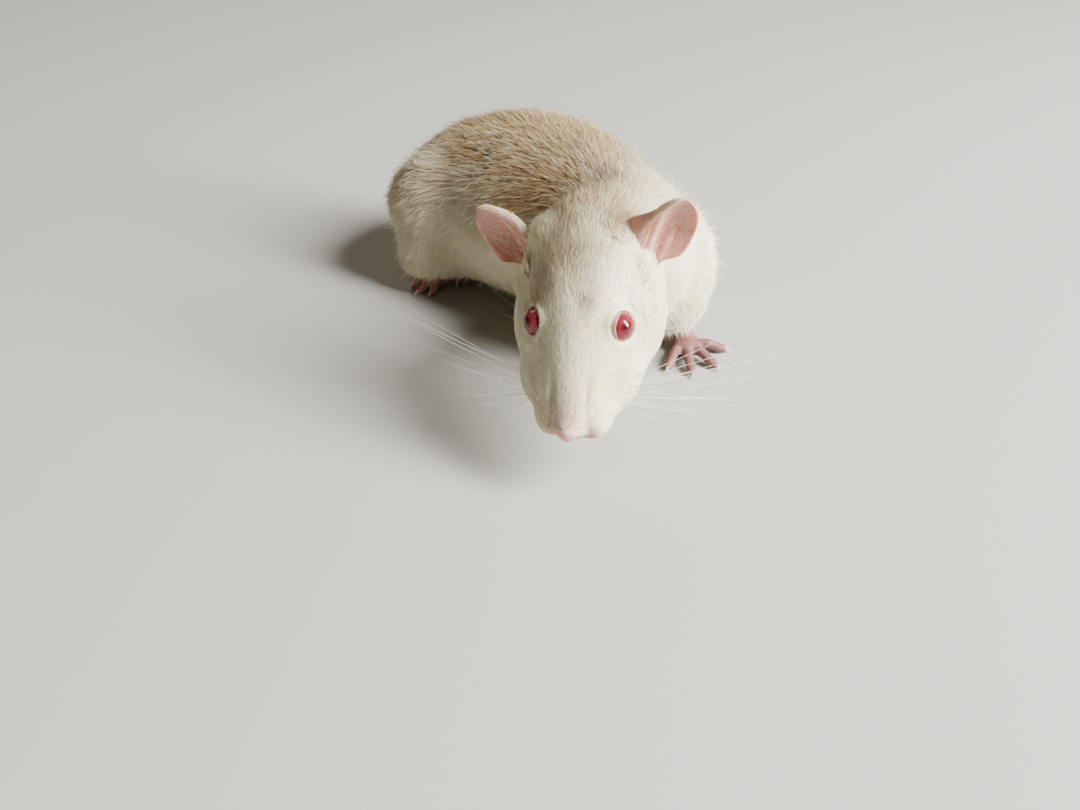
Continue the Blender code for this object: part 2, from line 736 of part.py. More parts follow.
def main():
    clear_scene()
    trunk, skull = trunk_shapes(), head_shapes()
    rough_head = fused("rough_head", [*skull, trunk[0]], HEAD_VOXEL, HEAD_SMOOTHING, 3 * HEAD_TRIANGLES)
    block = head_block()
    boolean(rough_head, block, "INTERSECT")
    head = make_head(thinned(rough_head, HEAD_TRIANGLES))
    body = on_floor(fused("body", [*trunk, *skull], TRUNK_VOXEL, TRUNK_SMOOTHING, TRUNK_TRIANGLES))
    discard(block, *trunk, *skull)
    cut_free([body], head_block(GAP + THINNING))

    eyes = make_eyes()
    ears = [make_ear(name, head) for name in EARS]
    paws = [on_floor(fore_paw(name)) for name in FORE_PAWS] + [on_floor(hind_paw(name)) for name in HIND_PAWS]
    tails = part_tail(on_floor(tail_bar()))

    for name in FORE_PAWS:
        cut_free([body], fore_paw(name, GAP))
    for name in HIND_PAWS:
        cut_free([body], hind_paw(name, GAP))
    cut_free([body], tail_bar(GAP))

    legs = []
    for name, (centre, half_width, half_height, outward) in LIMB_CUTS.items():
        cutter = plug("plug", centre, half_width, half_height, outward, 0.0)
        leg = copy_of(body, name)
        boolean(leg, cutter, "INTERSECT")
        legs.append(largest_surface(leg))
        discard(cutter)
        cut_free([body], plug("room", centre, half_width + GAP, half_height + GAP, outward, GAP))

    flesh = [
        between(body, "neck", behind=[NECK_CUT]),
        between(body, "chest", behind=[CHEST_CUT], ahead=[NECK_CUT]),
        between(body, "belly", behind=[LOIN_CUT], ahead=[CHEST_CUT]),
        between(body, "rump", ahead=[LOIN_CUT]),
    ]
    discard(body)

    nodes = [head, *eyes, *ears, *paws, *legs, *flesh, *tails]
    root = middle_of(nodes)
    looks = {name: material(name) for name in COATS}
    bare = {*EARS, *FORE_PAWS, *HIND_PAWS}
    for node in nodes:
        largest_surface(node)
        kind = "eye" if node in eyes else "bare_skin" if node.name in bare or node in tails else "coat"
        node.data.materials.clear()
        node.data.materials.append(looks[kind])
        node.data.shade_smooth()
        node.parent = root


main()
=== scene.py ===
import math

import bpy
import numpy as np
from mathutils import Matrix, Vector
from mathutils.bvhtree import BVHTree
from mathutils.kdtree import KDTree


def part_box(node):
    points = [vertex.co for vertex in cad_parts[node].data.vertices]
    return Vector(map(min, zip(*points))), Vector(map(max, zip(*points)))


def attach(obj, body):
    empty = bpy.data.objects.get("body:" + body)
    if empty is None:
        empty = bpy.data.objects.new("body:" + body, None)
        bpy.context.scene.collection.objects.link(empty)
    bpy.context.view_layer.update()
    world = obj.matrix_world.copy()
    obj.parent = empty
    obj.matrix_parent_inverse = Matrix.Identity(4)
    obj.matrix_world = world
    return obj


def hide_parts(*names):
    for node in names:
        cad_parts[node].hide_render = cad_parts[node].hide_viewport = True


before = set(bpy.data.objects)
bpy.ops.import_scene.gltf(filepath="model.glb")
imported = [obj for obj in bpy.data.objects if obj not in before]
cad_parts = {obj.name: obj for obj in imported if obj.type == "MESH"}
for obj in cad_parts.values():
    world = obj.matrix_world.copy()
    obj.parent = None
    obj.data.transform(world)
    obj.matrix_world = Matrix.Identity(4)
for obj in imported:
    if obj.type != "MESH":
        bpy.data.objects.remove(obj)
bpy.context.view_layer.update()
MM = 0.001
rng = np.random.default_rng(11)

# The head's frame: x to the rat's left, y back from the nose tip, z out of the crown. Millimetres.
NOSE_TIP = np.array((4.0, -81.0, 18.8))
HEAD_PITCH, HEAD_YAW, HEAD_ROLL = 36.0, 10.5, 7.0
EYE_RADIUS = 3.1
EYE_PLACE = (9.1, 24.0, 6.4)
EYE_OUT = (0.66, -0.34, 0.67)


def turn(degrees, axis):
    return np.array(Matrix.Rotation(math.radians(degrees), 3, axis))


HEAD_TURN = turn(-HEAD_YAW, "Z") @ turn(HEAD_PITCH, "X") @ turn(-HEAD_ROLL, "Y")


def middle(node):
    low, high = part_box(node)
    return np.array((low + high) / 2) / MM


# The model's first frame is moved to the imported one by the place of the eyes.
eyes_middle = (middle("eye_left") + middle("eye_right")) / 2
SHIFT = eyes_middle - NOSE_TIP - HEAD_TURN @ np.array((0.0, EYE_PLACE[1], EYE_PLACE[2]))


def to_world(points):
    """Millimetres in the model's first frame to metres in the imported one."""
    return (np.asarray(points, float) + SHIFT) * MM


def from_world(points):
    return np.asarray(points, float) / MM - SHIFT


def head_point(point):
    """A point of the head's frame, in the model's first frame."""
    return NOSE_TIP + HEAD_TURN @ np.asarray(point, float)


def head_coordinates(points):
    return (points - NOSE_TIP) @ HEAD_TURN


def unit(vectors):
    vectors = np.asarray(vectors, float)
    return vectors / np.maximum(np.linalg.norm(vectors, axis=-1, keepdims=True), 1e-9)


def smoothstep(low, high, x):
    t = np.clip((x - low) / (high - low), 0.0, 1.0)
    return t * t * (3.0 - 2.0 * t)


def mix(first, second, share):
    return first + (second - first) * share


def bell(values, middle, width):
    """1 at the middle, and down to about a third at one width from it."""
    return np.exp(-((values - middle) / width) ** 2)


def gap(points, place):
    """Distance of each point from a place."""
    return np.linalg.norm(points - np.asarray(place), axis=1)


def ripple(points, wavelength, seed):
    """Smooth noise from -1 to 1, as waves in several directions."""
    waves = np.random.default_rng(seed)
    total = np.zeros(len(points))
    for _ in range(6):
        way = unit(waves.normal(size=3)) * (2 * math.pi / wavelength) * waves.uniform(0.6, 1.5)
        total += np.sin(points @ way + waves.uniform(0, 2 * math.pi))
    return total / 3.2


# Objects and meshes

def deselect():
    if bpy.context.mode != "OBJECT":
        bpy.ops.object.mode_set(mode="OBJECT")
    bpy.ops.object.select_all(action="DESELECT")


def newest(name):
    """The object that was made last, under its own name."""
    obj = bpy.context.view_layer.objects.active
    obj.name = name
    return obj


def pick(obj):
    deselect()
    obj.select_set(True)
    bpy.context.view_layer.objects.active = obj


def finish_modifier(obj, kind, **settings):
    """Adds a modifier with its settings and applies it."""
    pick(obj)
    step = obj.modifiers.new(kind.lower(), kind)
    for key, value in settings.items():
        setattr(step, key, value)
    bpy.ops.object.modifier_apply(modifier=step.name)


def edit(obj, *steps):
    """Runs edit-mode steps on the whole mesh."""
    pick(obj)
    bpy.ops.object.mode_set(mode="EDIT")
    bpy.ops.mesh.select_all(action="SELECT")
    for step in steps:
        step()
    bpy.ops.object.mode_set(mode="OBJECT")


def joined_copy(name, nodes):
    """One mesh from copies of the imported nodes, with their loose triangles merged."""
    deselect()
    for node in nodes:
        twin = bpy.data.objects.new("copy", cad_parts[node].data.copy())
        bpy.context.scene.collection.objects.link(twin)
        twin.select_set(True)
        bpy.context.view_layer.objects.active = twin
    bpy.ops.object.join()
    obj = newest(name)
    edit(obj, lambda: bpy.ops.mesh.remove_doubles(threshold=1e-6))
    return obj


def read_rows(items, key, width, kind):
    """One fact of every item of a mesh, in rows."""
    out = np.empty(len(items) * width, kind)
    items.foreach_get(key, out)
    return out.reshape(-1, width)


def coordinates(obj):
    return read_rows(obj.data.vertices, "co", 3, float)


def set_coordinates(obj, points):
    obj.data.vertices.foreach_set("co", np.asarray(points, np.float32).ravel())
    obj.data.update()


def normals(obj):
    return read_rows(obj.data.vertex_normals, "vector", 3, np.float32).astype(float)


def edges(obj):
    return read_rows(obj.data.edges, "vertices", 2, np.int32)


def triangle_corners(obj):
    obj.data.calc_loop_triangles()
    return read_rows(obj.data.loop_triangles, "vertices", 3, np.int32)


def loop_corners(obj):
    return read_rows(obj.data.loops, "vertex_index", 1, np.int32).ravel()


def blurred(values, pairs, count):
    """Values at the vertices, evened out over their neighbours."""
    values = np.array(values, float)
    flat = values.reshape(len(values), -1)
    size = len(flat)
    near = np.bincount(pairs.ravel(), minlength=size) + 1.0
    for _ in range(count):
        for column in range(flat.shape[1]):
            total = np.bincount(pairs[:, 0], flat[pairs[:, 1], column], size)
            total += np.bincount(pairs[:, 1], flat[pairs[:, 0], column], size)
            flat[:, column] = (total + flat[:, column]) / near
    return flat.reshape(values.shape)


def set_attribute(obj, name, values):
    layer = obj.data.attributes.new(name, "FLOAT", "POINT")
    layer.data.foreach_set("value", np.asarray(values, np.float32))


def vertex_group(obj, name, weights):
    """A vertex group in ten steps of weight."""
    group = obj.vertex_groups.new(name=name)
    steps = np.round(np.clip(weights, 0, 1) * 10).astype(int)
    for step in range(1, 11):
        group.add(np.flatnonzero(steps == step).tolist(), step / 10, "REPLACE")


def mesh_from_arrays(name, points, faces):
    mesh = bpy.data.meshes.new(name)
    mesh.from_pydata(points.tolist(), [], faces)
    obj = bpy.data.objects.new(name, mesh)
    bpy.context.scene.collection.objects.link(obj)
    return obj


def smooth_shade(obj):
    obj.data.polygons.foreach_set("use_smooth", np.ones(len(obj.data.polygons), bool))


def face_outward(obj):
    """Turns the faces outward and shades them smooth."""
    edit(obj, lambda: bpy.ops.mesh.normals_make_consistent(inside=False))
    smooth_shade(obj)


# Places on the body

# The middle of the trunk from the rump to the nape, with its half height.
SPINE = np.array((
    (-45.0, 30.5, 15.5, 6.0),
    (-35.5, 28.8, 22.0, 16.0),
    (-16.5, 24.5, 26.0, 25.0),
    (5.0, 10.0, 26.5, 26.0),
    (19.0, -14.0, 30.0, 22.0),
    (17.5, -35.0, 40.0, 16.0),
    (10.0, -48.0, 42.5, 13.0),
))

# Each lower limb runs from the elbow or knee down to the bare wrist or ankle.
LOWER_LIMBS = (
    ((35.0, -10.0, 17.0), (38.4, -13.5, 5.5)),
    ((8.0, -17.0, 16.0), (9.6, -25.0, 5.5)),
    ((-22.0, 37.0, 15.0), (-22.5, 46.5, 8.0)),
    ((-26.0, 26.0, 15.0), (-22.0, 33.5, 8.0)),
)

# Paws: wrist or heel, the way of the toes in degrees from -Y towards +X, left or right, toes and radius.
# A toe is its root across and along, its splay in degrees and its length.
FORE_TOES = ((-3.1, 6.2, -70.0, 8.4), (-1.4, 8.4, -26.0, 9.0), (1.0, 8.8, 8.0, 9.4), (3.0, 7.2, 36.0, 8.8))
HIND_TOES = (
    (-3.3, 17.5, -30.0, 6.6),
    (-1.9, 21.0, -11.0, 9.4),
    (0.0, 21.8, 1.0, 10.0),
    (1.9, 21.0, 13.0, 9.2),
    (3.4, 15.5, 34.0, 5.6),
)
PAWS = {
    "forepaw_left": ((37.5, -15.0), 12.0, 1, FORE_TOES, 1.45),
    "forepaw_right": ((9.5, -26.5), -12.0, -1, FORE_TOES, 1.45),
    "hindpaw_right": ((-21.0, 35.0), -37.0, -1, HIND_TOES, 1.2),
    "hindpaw_left": ((-22.0, 47.0), 98.0, 1, HIND_TOES, 1.2),
}
PAW_LENGTH = {FORE_TOES: 18.0, HIND_TOES: 32.0}  # the bare part, from wrist or heel
HAUNCH = np.array((-37.0, 14.0, 24.0))
HAUNCH_REACH = np.array((18.0, 20.0, 23.0))
NOSE_PLACE = np.array((0.0, 0.6, 0.8))
NOSE_REACH = np.array((3.3, 2.3, 2.9))

# Ears: root on the head, way to the tip and way that the cup opens, in the head's frame.
EARS = {
    "ear_left": ((12.8, 39.5, 4.8), (0.49, 0.55, 0.67), (0.50, -0.73, 0.47)),
    "ear_right": ((-13.0, 39.0, 4.4), (-0.74, 0.59, 0.33), (-0.40, -0.82, 0.40)),
}
EAR_INNER = {"ear_left": -1.0, "ear_right": 1.0}  # the way across each ear to its edge nearest the crown

# Tufts between ear and crown: place in the head's frame, reach, height, and how fawn they are. The left
# tuft's fawn is partly painted shade, on its side away from the window.
EAR_TUFTS = {
    "ear_left": ((9.0, 44.0, 10.0), 5.0, 2.0, 0.85),
    "ear_right": ((-11.2, 42.5, 10.5), 6.6, 5.0, 0.0),
}

# Marks round the ears' roots and on the right temple: place in the head's frame, reach, and how fawn they
# are. Some of them are painted shade.
EAR_AND_SHADE_MARKS = (
    # Fawn at the left ear's root, partly painted shade where the root faces away from the window.
    ((8.5, 45.0, 11.0), 6.5, 0.95),
    ((-11.0, 43.5, 10.0), 6.0, 0.0),
    # Painted shade: fawn on the right temple, the side of the face away from the window.
    ((-9.0, 30.0, 11.0), 7.5, 0.42),
)

# The coat's depth and the hairs' length, and the same along the head, at distances back from the nose tip.
TRUNK_DEPTH, LIMB_DEPTH = 2.5, 1.3
TRUNK_HAIR, LIMB_HAIR = 5.4, 3.4
HEAD_DEPTH = ((2.0, 6.0, 14.0, 26.0, 36.0, 50.0), (0.0, 0.2, 0.45, 0.7, 1.1, 2.3))
HEAD_HAIR = ((3.0, 8.0, 16.0, 26.0, 36.0, 50.0), (0.9, 1.3, 2.1, 3.0, 4.4, 7.0))

# The fawn stripe on the crown, at distances back from the nose tip: its middle, half width and strength.
STRIPE_MIDDLE = ((24.0, 30.0, 38.0, 46.0), (2.2, 1.4, -0.4, 0.0))
STRIPE_HALF = ((22.0, 26.0, 30.0, 35.0, 40.0, 46.0), (1.0, 2.1, 3.5, 5.7, 7.7, 9.5))
STRIPE_STRENGTH = ((19.5, 24.0, 29.0, 34.0, 40.0), (0.0, 0.44, 0.56, 0.58, 0.60))

PAW_NODES = tuple(PAWS)
TRUNK_NODES = ("head", "neck", "chest", "belly", "rump")
LEG_NODES = ("foreleg_left", "foreleg_right", "hindleg_left", "hindleg_right")


def catmull_rom(rows, per_gap):
    """Smooth rows through rows of numbers."""
    rows = np.asarray(rows, float)
    padded = np.vstack((2 * rows[0] - rows[1], rows, 2 * rows[-1] - rows[-2]))
    out = []
    for i in range(len(rows) - 1):
        a, b, c, d = padded[i:i + 4]
        for t in np.arange(per_gap) / per_gap:
            cube = (3 * b - a - 3 * c + d) * t**3
            out.append(0.5 * (2 * b + (c - a) * t + (2 * a - 5 * b + 4 * c - d) * t**2 + cube))
    out.append(rows[-1])
    return np.array(out)


SPINE_FINE = catmull_rom(SPINE, 12)
SPINE_WAY = unit(np.gradient(SPINE_FINE[:, :3], axis=0))
CHUNK = 20000  # points that are looked at together


def nearest_rows(points, line):
    """For each point, the row of the line that is nearest."""
    found = np.empty(len(points), int)
    for start in range(0, len(points), CHUNK):
        part = points[start:start + CHUNK]
        apart = ((part[:, None, :] - line[None, :, :]) ** 2).sum(axis=2)
        found[start:start + CHUNK] = apart.argmin(axis=1)
    return found


def to_segment(points, start, end):
    """Distance to a straight line and share of the way along it."""
    start, end = np.array(start), np.array(end)
    way = end - start
    share = np.clip((points - start) @ way / (way @ way), 0.0, 1.0)
    return np.linalg.norm(points - start - share[:, None] * way, axis=1), share


class Regions:
    """What grows where, at points given in the model's first frame."""

    def __init__(self, points, normal):
        self.points = points
        self.normal = normal
        self.head = head_coordinates(points)
        row = nearest_rows(points, SPINE_FINE[:, :3])
        self.centre = SPINE_FINE[row, :3]
        self.way = SPINE_WAY[row]
        x, y, z = self.head.T
        self.in_head = smoothstep(52.0, 40.0, y) * smoothstep(-21.0, -16.0, z)
        self.in_head = self.in_head * smoothstep(26.0, 20.0, abs(x))
        self.paw = self.paw_share()
        self.limb, self.limb_way = self.limb_share()
        eye_place = np.where(x[:, None] > 0, EYE_PLACE, (-EYE_PLACE[0], *EYE_PLACE[1:]))
        self.eye = gap(self.head, eye_place)
        self.to_eye = unit(eye_place - self.head) @ HEAD_TURN.T
        self.round_eye = 0.9 * smoothstep(8.0, 4.0, self.eye)
        self.nose = gap(self.head / NOSE_REACH, NOSE_PLACE / NOSE_REACH)
        self.haunch = gap(points / HAUNCH_REACH, HAUNCH / HAUNCH_REACH)

    def paw_share(self):
        """1 on the bare paws, 0 on the furred limbs."""
        share = np.zeros(len(self.points))
        low = smoothstep(10.0, 6.5, self.points[:, 2])
        for wrist, angle, _, toes, _ in PAWS.values():
            way = turn(angle, "Z") @ np.array((0.0, -1.0, 0.0))
            root = np.array((*wrist, 3.0)) - way
            distance, _ = to_segment(self.points, root, root + way * PAW_LENGTH[toes])
            share = np.maximum(share, smoothstep(13.0, 10.5, distance) * low)
        return share

    def limb_share(self):
        share = np.zeros(len(self.points))
        way = np.zeros_like(self.points)
        for start, end in LOWER_LIMBS:
            distance, along = to_segment(self.points, start, end)
            near = smoothstep(13.0, 8.0, distance) * smoothstep(0.0, 0.5, along + 0.15)
            way[near > share] = unit(np.array(end) - np.array(start))
            share = np.maximum(share, near)
        return share, way

    def bare(self):
        """1 on bare pink skin: paws, nose pad and the rims of the lids."""
        rim = smoothstep(EYE_RADIUS + 0.7, EYE_RADIUS + 0.4, self.eye)
        nose = smoothstep(1.2, 0.75, self.nose)
        return np.clip(np.maximum.reduce([self.paw, rim, nose]), 0.0, 1.0)

    def depth(self):
        """How far the skin lies inside the tips of the coat."""
        out = mix(TRUNK_DEPTH, np.interp(self.head[:, 1], *HEAD_DEPTH), self.in_head)
        out = mix(out, LIMB_DEPTH, self.limb * 0.85)
        out = out * (1.0 - smoothstep(EYE_RADIUS + 3.0, EYE_RADIUS + 0.6, self.eye))
        return out * (1.0 - self.paw)

    def flow(self):
        """The way that the hairs point, along the skin."""
        trunk = -self.way + np.array((0.0, 0.0, -0.8))
        head = unit(self.points - head_point((0.0, -3.0, 2.0)))
        head = head - self.to_eye * ((head * self.to_eye).sum(axis=1) * self.round_eye)[:, None]
        out = mix(trunk, head, self.in_head[:, None])
        out = mix(out, self.limb_way, (self.limb * 0.9)[:, None])
        return unit(out - self.normal * (out * self.normal).sum(axis=1, keepdims=True))

    def blush(self):
        """Pink that shows through the short hair round the nose."""
        x, y, z = self.head.T
        bridge = smoothstep(12.0, 3.0, y) * smoothstep(4.5, 2.0, abs(x)) * smoothstep(-3.0, 0.5, z)
        tip = 0.55 * smoothstep(2.6, 1.1, self.nose)
        return np.maximum(0.5 * bridge, tip) * self.in_head

    def length(self):
        """Length of the hairs."""
        out = mix(TRUNK_HAIR, np.interp(self.head[:, 1], *HEAD_HAIR), self.in_head)
        out = mix(out, LIMB_HAIR, self.limb * 0.9)
        out = out * (1.0 - 0.65 * smoothstep(EYE_RADIUS + 3.2, EYE_RADIUS + 0.8, self.eye))
        return np.maximum(out * (1.0 - 0.7 * self.paw), 0.8)

    def fawn_and_painted_shading(self):
        """0 where the coat is white, 1 where it is fawn: along the back and on the crown. It also carries
        painted light and shade: paler on the left shoulder, which faces the window, and fawn on the right
        temple and partly round the left ear's root, where shade falls.
        """
        edge = 0.10 * ripple(self.points, 16.0, 3)
        fleck = 0.14 * ripple(self.points, 11.0, 4) + 0.10 * ripple(self.points, 4.0, 6)
        back = 0.95 * smoothstep(-0.15, 0.75, unit(self.points - self.centre)[:, 2] + edge)
        back = mix(back, 0.30, 0.85 * smoothstep(1.35, 0.6, self.haunch))
        # Painted light: the fawn is paler on the left shoulder, the side that faces the window.
        lit_shoulder_paling = smoothstep(8.0, 26.0, self.points[:, 0]) * smoothstep(8.0, -28.0, self.points[:, 1])
        back = back * (1.0 - 0.6 * lit_shoulder_paling)
        x, y, z = self.head.T
        side = abs(x - np.interp(y, *STRIPE_MIDDLE)) + edge * 7.0
        half = np.interp(y, *STRIPE_HALF)
        crown_and_painted_shade = np.interp(y, *STRIPE_STRENGTH) * smoothstep(-1.0, 5.0, z)
        crown_and_painted_shade = crown_and_painted_shade * smoothstep(1.6 * half, 0.4 * half, side)
        # Fawn round the ears' roots, with painted shade on the right temple and partly at the left ear's
        # root.
        for place, reach, most in EAR_AND_SHADE_MARKS:
            crown_and_painted_shade = mix(crown_and_painted_shade, most, smoothstep(reach, 0.4 * reach, gap(self.head, place)))
        out = mix(back, crown_and_painted_shade, self.in_head)
        return np.clip((out + fleck * smoothstep(0.1, 0.5, out)) * (1.0 - self.limb), 0.0, 1.0)


# The skin

VOXEL = 0.38
SWELL = 0.2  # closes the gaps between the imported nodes
SKIN_TRIANGLES = 150000
EYE_CLEAR = 0.12  # between the skin and the eyeball


def make_skin():
    """One closed skin under the coat, with the bare paws, nose and lids."""
    skin = joined_copy("skin", TRUNK_NODES + LEG_NODES + PAW_NODES)
    finish_modifier(skin, "DISPLACE", strength=SWELL * MM, mid_level=0.0)
    finish_modifier(skin, "REMESH", mode="VOXEL", voxel_size=VOXEL * MM)
    at = from_world(coordinates(skin))
    regions = Regions(at, normals(skin))
    muzzle = smoothstep(20.0, 12.0, regions.head[:, 1]) * smoothstep(-2.0, -4.5, regions.head[:, 2])
    detail = np.maximum.reduce([
        smoothstep(EYE_RADIUS + 1.4, EYE_RADIUS + 0.7, regions.eye),
        smoothstep(3.6, 1.6, regions.nose),
        muzzle * regions.in_head,
        regions.paw,
    ])
    vertex_group(skin, "soft", 1.0 - detail)
    finish_modifier(skin, "SMOOTH", factor=0.6, iterations=40, vertex_group="soft")
    vertex_group(skin, "broad", (1.0 - detail) * (1.0 - regions.in_head) * (1.0 - 0.7 * regions.limb))
    finish_modifier(skin, "SMOOTH", factor=0.7, iterations=140, vertex_group="broad")
    finish_modifier(skin, "SMOOTH", factor=0.5, iterations=4)
    vertex_group(skin, "furred", 1.0 - np.maximum(detail, regions.in_head * 0.6))
    ratio = min(1.0, SKIN_TRIANGLES / len(triangle_corners(skin)))
    finish_modifier(skin, "DECIMATE", ratio=ratio, vertex_group="furred")
    skin.vertex_groups.clear()

    at = from_world(coordinates(skin))
    normal = normals(skin)
    pairs = edges(skin)
    regions = Regions(at, normal)
    depth = blurred(regions.depth(), pairs, 12)
    at = at - normal * (depth + SWELL)[:, None]
    at = fit_lids(at) + normal * muzzle_relief(regions)[:, None]
    at[:, 2] = np.maximum(at[:, 2], 0.0)
    set_coordinates(skin, to_world(at))
    smooth_shade(skin)
    return skin


def muzzle_relief(regions):
    """Grooves on each side of the nose, the cleft of the lip, and full whisker pads."""
    x, y, z = regions.head.T
    along = smoothstep(0.8, 3.0, y) * smoothstep(14.0, 8.0, y)
    groove = bell(abs(x), 3.9, 0.75) * along * smoothstep(-3.5, -1.0, z)
    cleft = bell(x, 0.0, 0.4) * smoothstep(6.0, 3.5, y) * smoothstep(0.6, -0.4, z)
    pad = bell(abs(x), 6.8, 2.0) * bell(y, 8.0, 4.0) * smoothstep(-6.0, -3.0, z)
    return (0.35 * pad - 0.4 * groove - 0.4 * cleft - 0.55 * nostrils(regions.head)) * regions.in_head


def nostrils(head):
    """1 in the comma of each nostril, at points in the head's frame."""
    x, y, z = head.T
    return bell(abs(x) - 0.25 * y, 2.1, 0.42) * bell(y, 0.5, 1.0) * bell(z, 0.9, 0.7)


def fit_lids(at):
    """Keeps the skin just clear of the eyeballs."""
    clear = EYE_RADIUS + EYE_CLEAR
    for side in (-1, 1):
        centre = head_point((side * EYE_PLACE[0], *EYE_PLACE[1:]))
        distance = gap(at, centre)
        close = distance < clear
        at[close] = centre + (at[close] - centre) / distance[close, None] * clear
    return at


# The coat

def surface_samples(ground, weights, count):
    """Random places on the skin: the corners of their triangles, and a share of each corner."""
    corners = ground["corners"]
    a, b, c = (ground["at"][corners[:, k]] for k in range(3))
    area = np.linalg.norm(np.cross(b - a, c - a), axis=1) / 2
    share = area * weights[corners].mean(axis=1)
    picked = rng.choice(len(corners), size=count, p=share / share.sum())
    u, v = rng.random(count), rng.random(count)
    over = u + v > 1
    u[over], v[over] = 1 - u[over], 1 - v[over]
    shares = np.stack((1 - u - v, u, v), axis=1)
    return corners[picked], shares


def mixed(values, corners, shares):
    """Vertex values at places inside triangles."""
    return np.einsum("nk...,nk->n...", values[corners], shares)


def corner_shares(places, a, b, c):
    """How near each place in a triangle is to its corners."""
    ab, ac, ap = b - a, c - a, places - a
    d00, d01, d11 = (ab * ab).sum(axis=1), (ab * ac).sum(axis=1), (ac * ac).sum(axis=1)
    d20, d21 = (ap * ab).sum(axis=1), (ap * ac).sum(axis=1)
    whole = np.maximum(d00 * d11 - d01 * d01, 1e-12)
    v = (d11 * d20 - d01 * d21) / whole
    w = (d00 * d21 - d01 * d20) / whole
    return np.clip(np.stack((1 - v - w, v, w), axis=1), 0.0, 1.0)


def settle(ground, targets, heights):
    """Each target brought to its height over the nearest place on the skin, along its smooth normal."""
    places = np.empty_like(targets)
    faces = np.empty(len(targets), int)
    for k, target in enumerate(targets.tolist()):
        place, _, faces[k], _ = ground["tree"].find_nearest(target)
        places[k] = place
    corners = ground["corners"][faces]
    shares = corner_shares(places, *(ground["at"][corners[:, k]] for k in range(3)))
    return places + unit(mixed(ground["normal"], corners, shares)) * heights[:, None]


LOCK = 9  # tufts in a small lock
EAR_HAIRS, TAIL_HAIRS, LID_HAIRS = 5200, 7000, 3200


def clumped(roots, tips, pull):
    """Draws tips towards the tip of the nearest leading hair, so that they form small locks."""
    leaders = range(0, len(roots), LOCK)
    tree = KDTree(len(leaders))
    for index in leaders:
        tree.insert(roots[index], index)
    tree.balance()
    lead = np.array([tree.find(root)[1] for root in roots.tolist()])
    length = np.linalg.norm(tips - roots, axis=1, keepdims=True)
    return roots + unit(tips - roots + (tips[lead] - tips) * pull) * length


LONG_TUFT = ((0.0, 0.75), (0.4, 1.0), (0.75, 0.6))  # shares of the length and of the width
SHORT_TUFT = ((0.0, 0.8), (0.5, 0.9))
SOFTNESS = 0.72  # how far a tuft takes its light as the surface under it does
TUFT_CLEAR = 0.15  # least height of a tuft's middle line over the floor
EDGE_CLEAR = 0.05  # least height of its edges
BAKE_PATCH = 0.003  # size of a tuft on the map


def tufts(name, roots, mids, tips, across, width, facts, patch, under, levels=SHORT_TUFT):
    """Flat tapered tufts through three points each, as one mesh, lit nearly as the surface under them."""
    count = len(roots)
    rings = []
    for share, taper in levels:
        a, b, c = (1 - share) ** 2, 2 * share * (1 - share), share**2
        bend = 2 * mids - (roots + tips) / 2
        centre = a * roots + b * bend + c * tips
        side = across * (width * taper / 2)[:, None]
        rings.extend((centre - side, centre + side))
    rings.append(tips)
    per = len(rings)
    points = np.stack(rings, axis=1).reshape(-1, 3)
    points[:, 2] = np.maximum(points[:, 2], EDGE_CLEAR)
    start = np.arange(count) * per
    quads = []
    for level in range(len(levels) - 1):
        low = start + 2 * level
        quads.append(np.stack((low + 1, low, low + 2, low + 3), axis=1))
    last = start + 2 * (len(levels) - 1)
    ends = np.stack((last + 1, last, last + 2), axis=1)
    faces = [face for block in (*quads, ends) for face in block.tolist()]
    obj = mesh_from_arrays(name, to_world(points), faces)
    smooth_shade(obj)
    for key, values in facts.items():
        set_attribute(obj, key, np.repeat(values, per))
    along = [share for share, _ in levels for _ in (0, 1)] + [1.0]
    set_attribute(obj, "along", np.tile(along, count))
    bake_map(obj, patch, along)
    own = unit(np.cross(unit(tips - roots), across))
    soft = unit(SOFTNESS * under + (1.0 - SOFTNESS) * own)
    obj.data.normals_split_custom_set_from_vertices(np.repeat(soft, per, axis=0).tolist())
    return obj


def bake_map(obj, patch, along):
    """A map where each tuft is a small patch at its root's place on the skin's own map."""
    layer = obj.data.uv_layers.new(name="OFBake")
    corners = loop_corners(obj)
    per = len(along)
    sideways = [0.0, 1.0] * (per // 2) + [0.5]
    offset = np.stack((sideways, along), axis=1) * BAKE_PATCH
    uv = patch[corners // per] + offset[corners % per]
    layer.data.foreach_set("uv", uv.astype(np.float32).ravel())


def skin_map(skin):
    """Unwraps the skin and gives a place on that map for each vertex."""
    edit(skin, lambda: bpy.ops.uv.smart_project(angle_limit=math.radians(66), island_margin=0.002))
    layer = skin.data.uv_layers.active
    layer.name = "OFBake"
    out = np.zeros((len(skin.data.vertices), 2))
    out[loop_corners(skin)] = read_rows(layer.data, "uv", 2, np.float32)
    return out


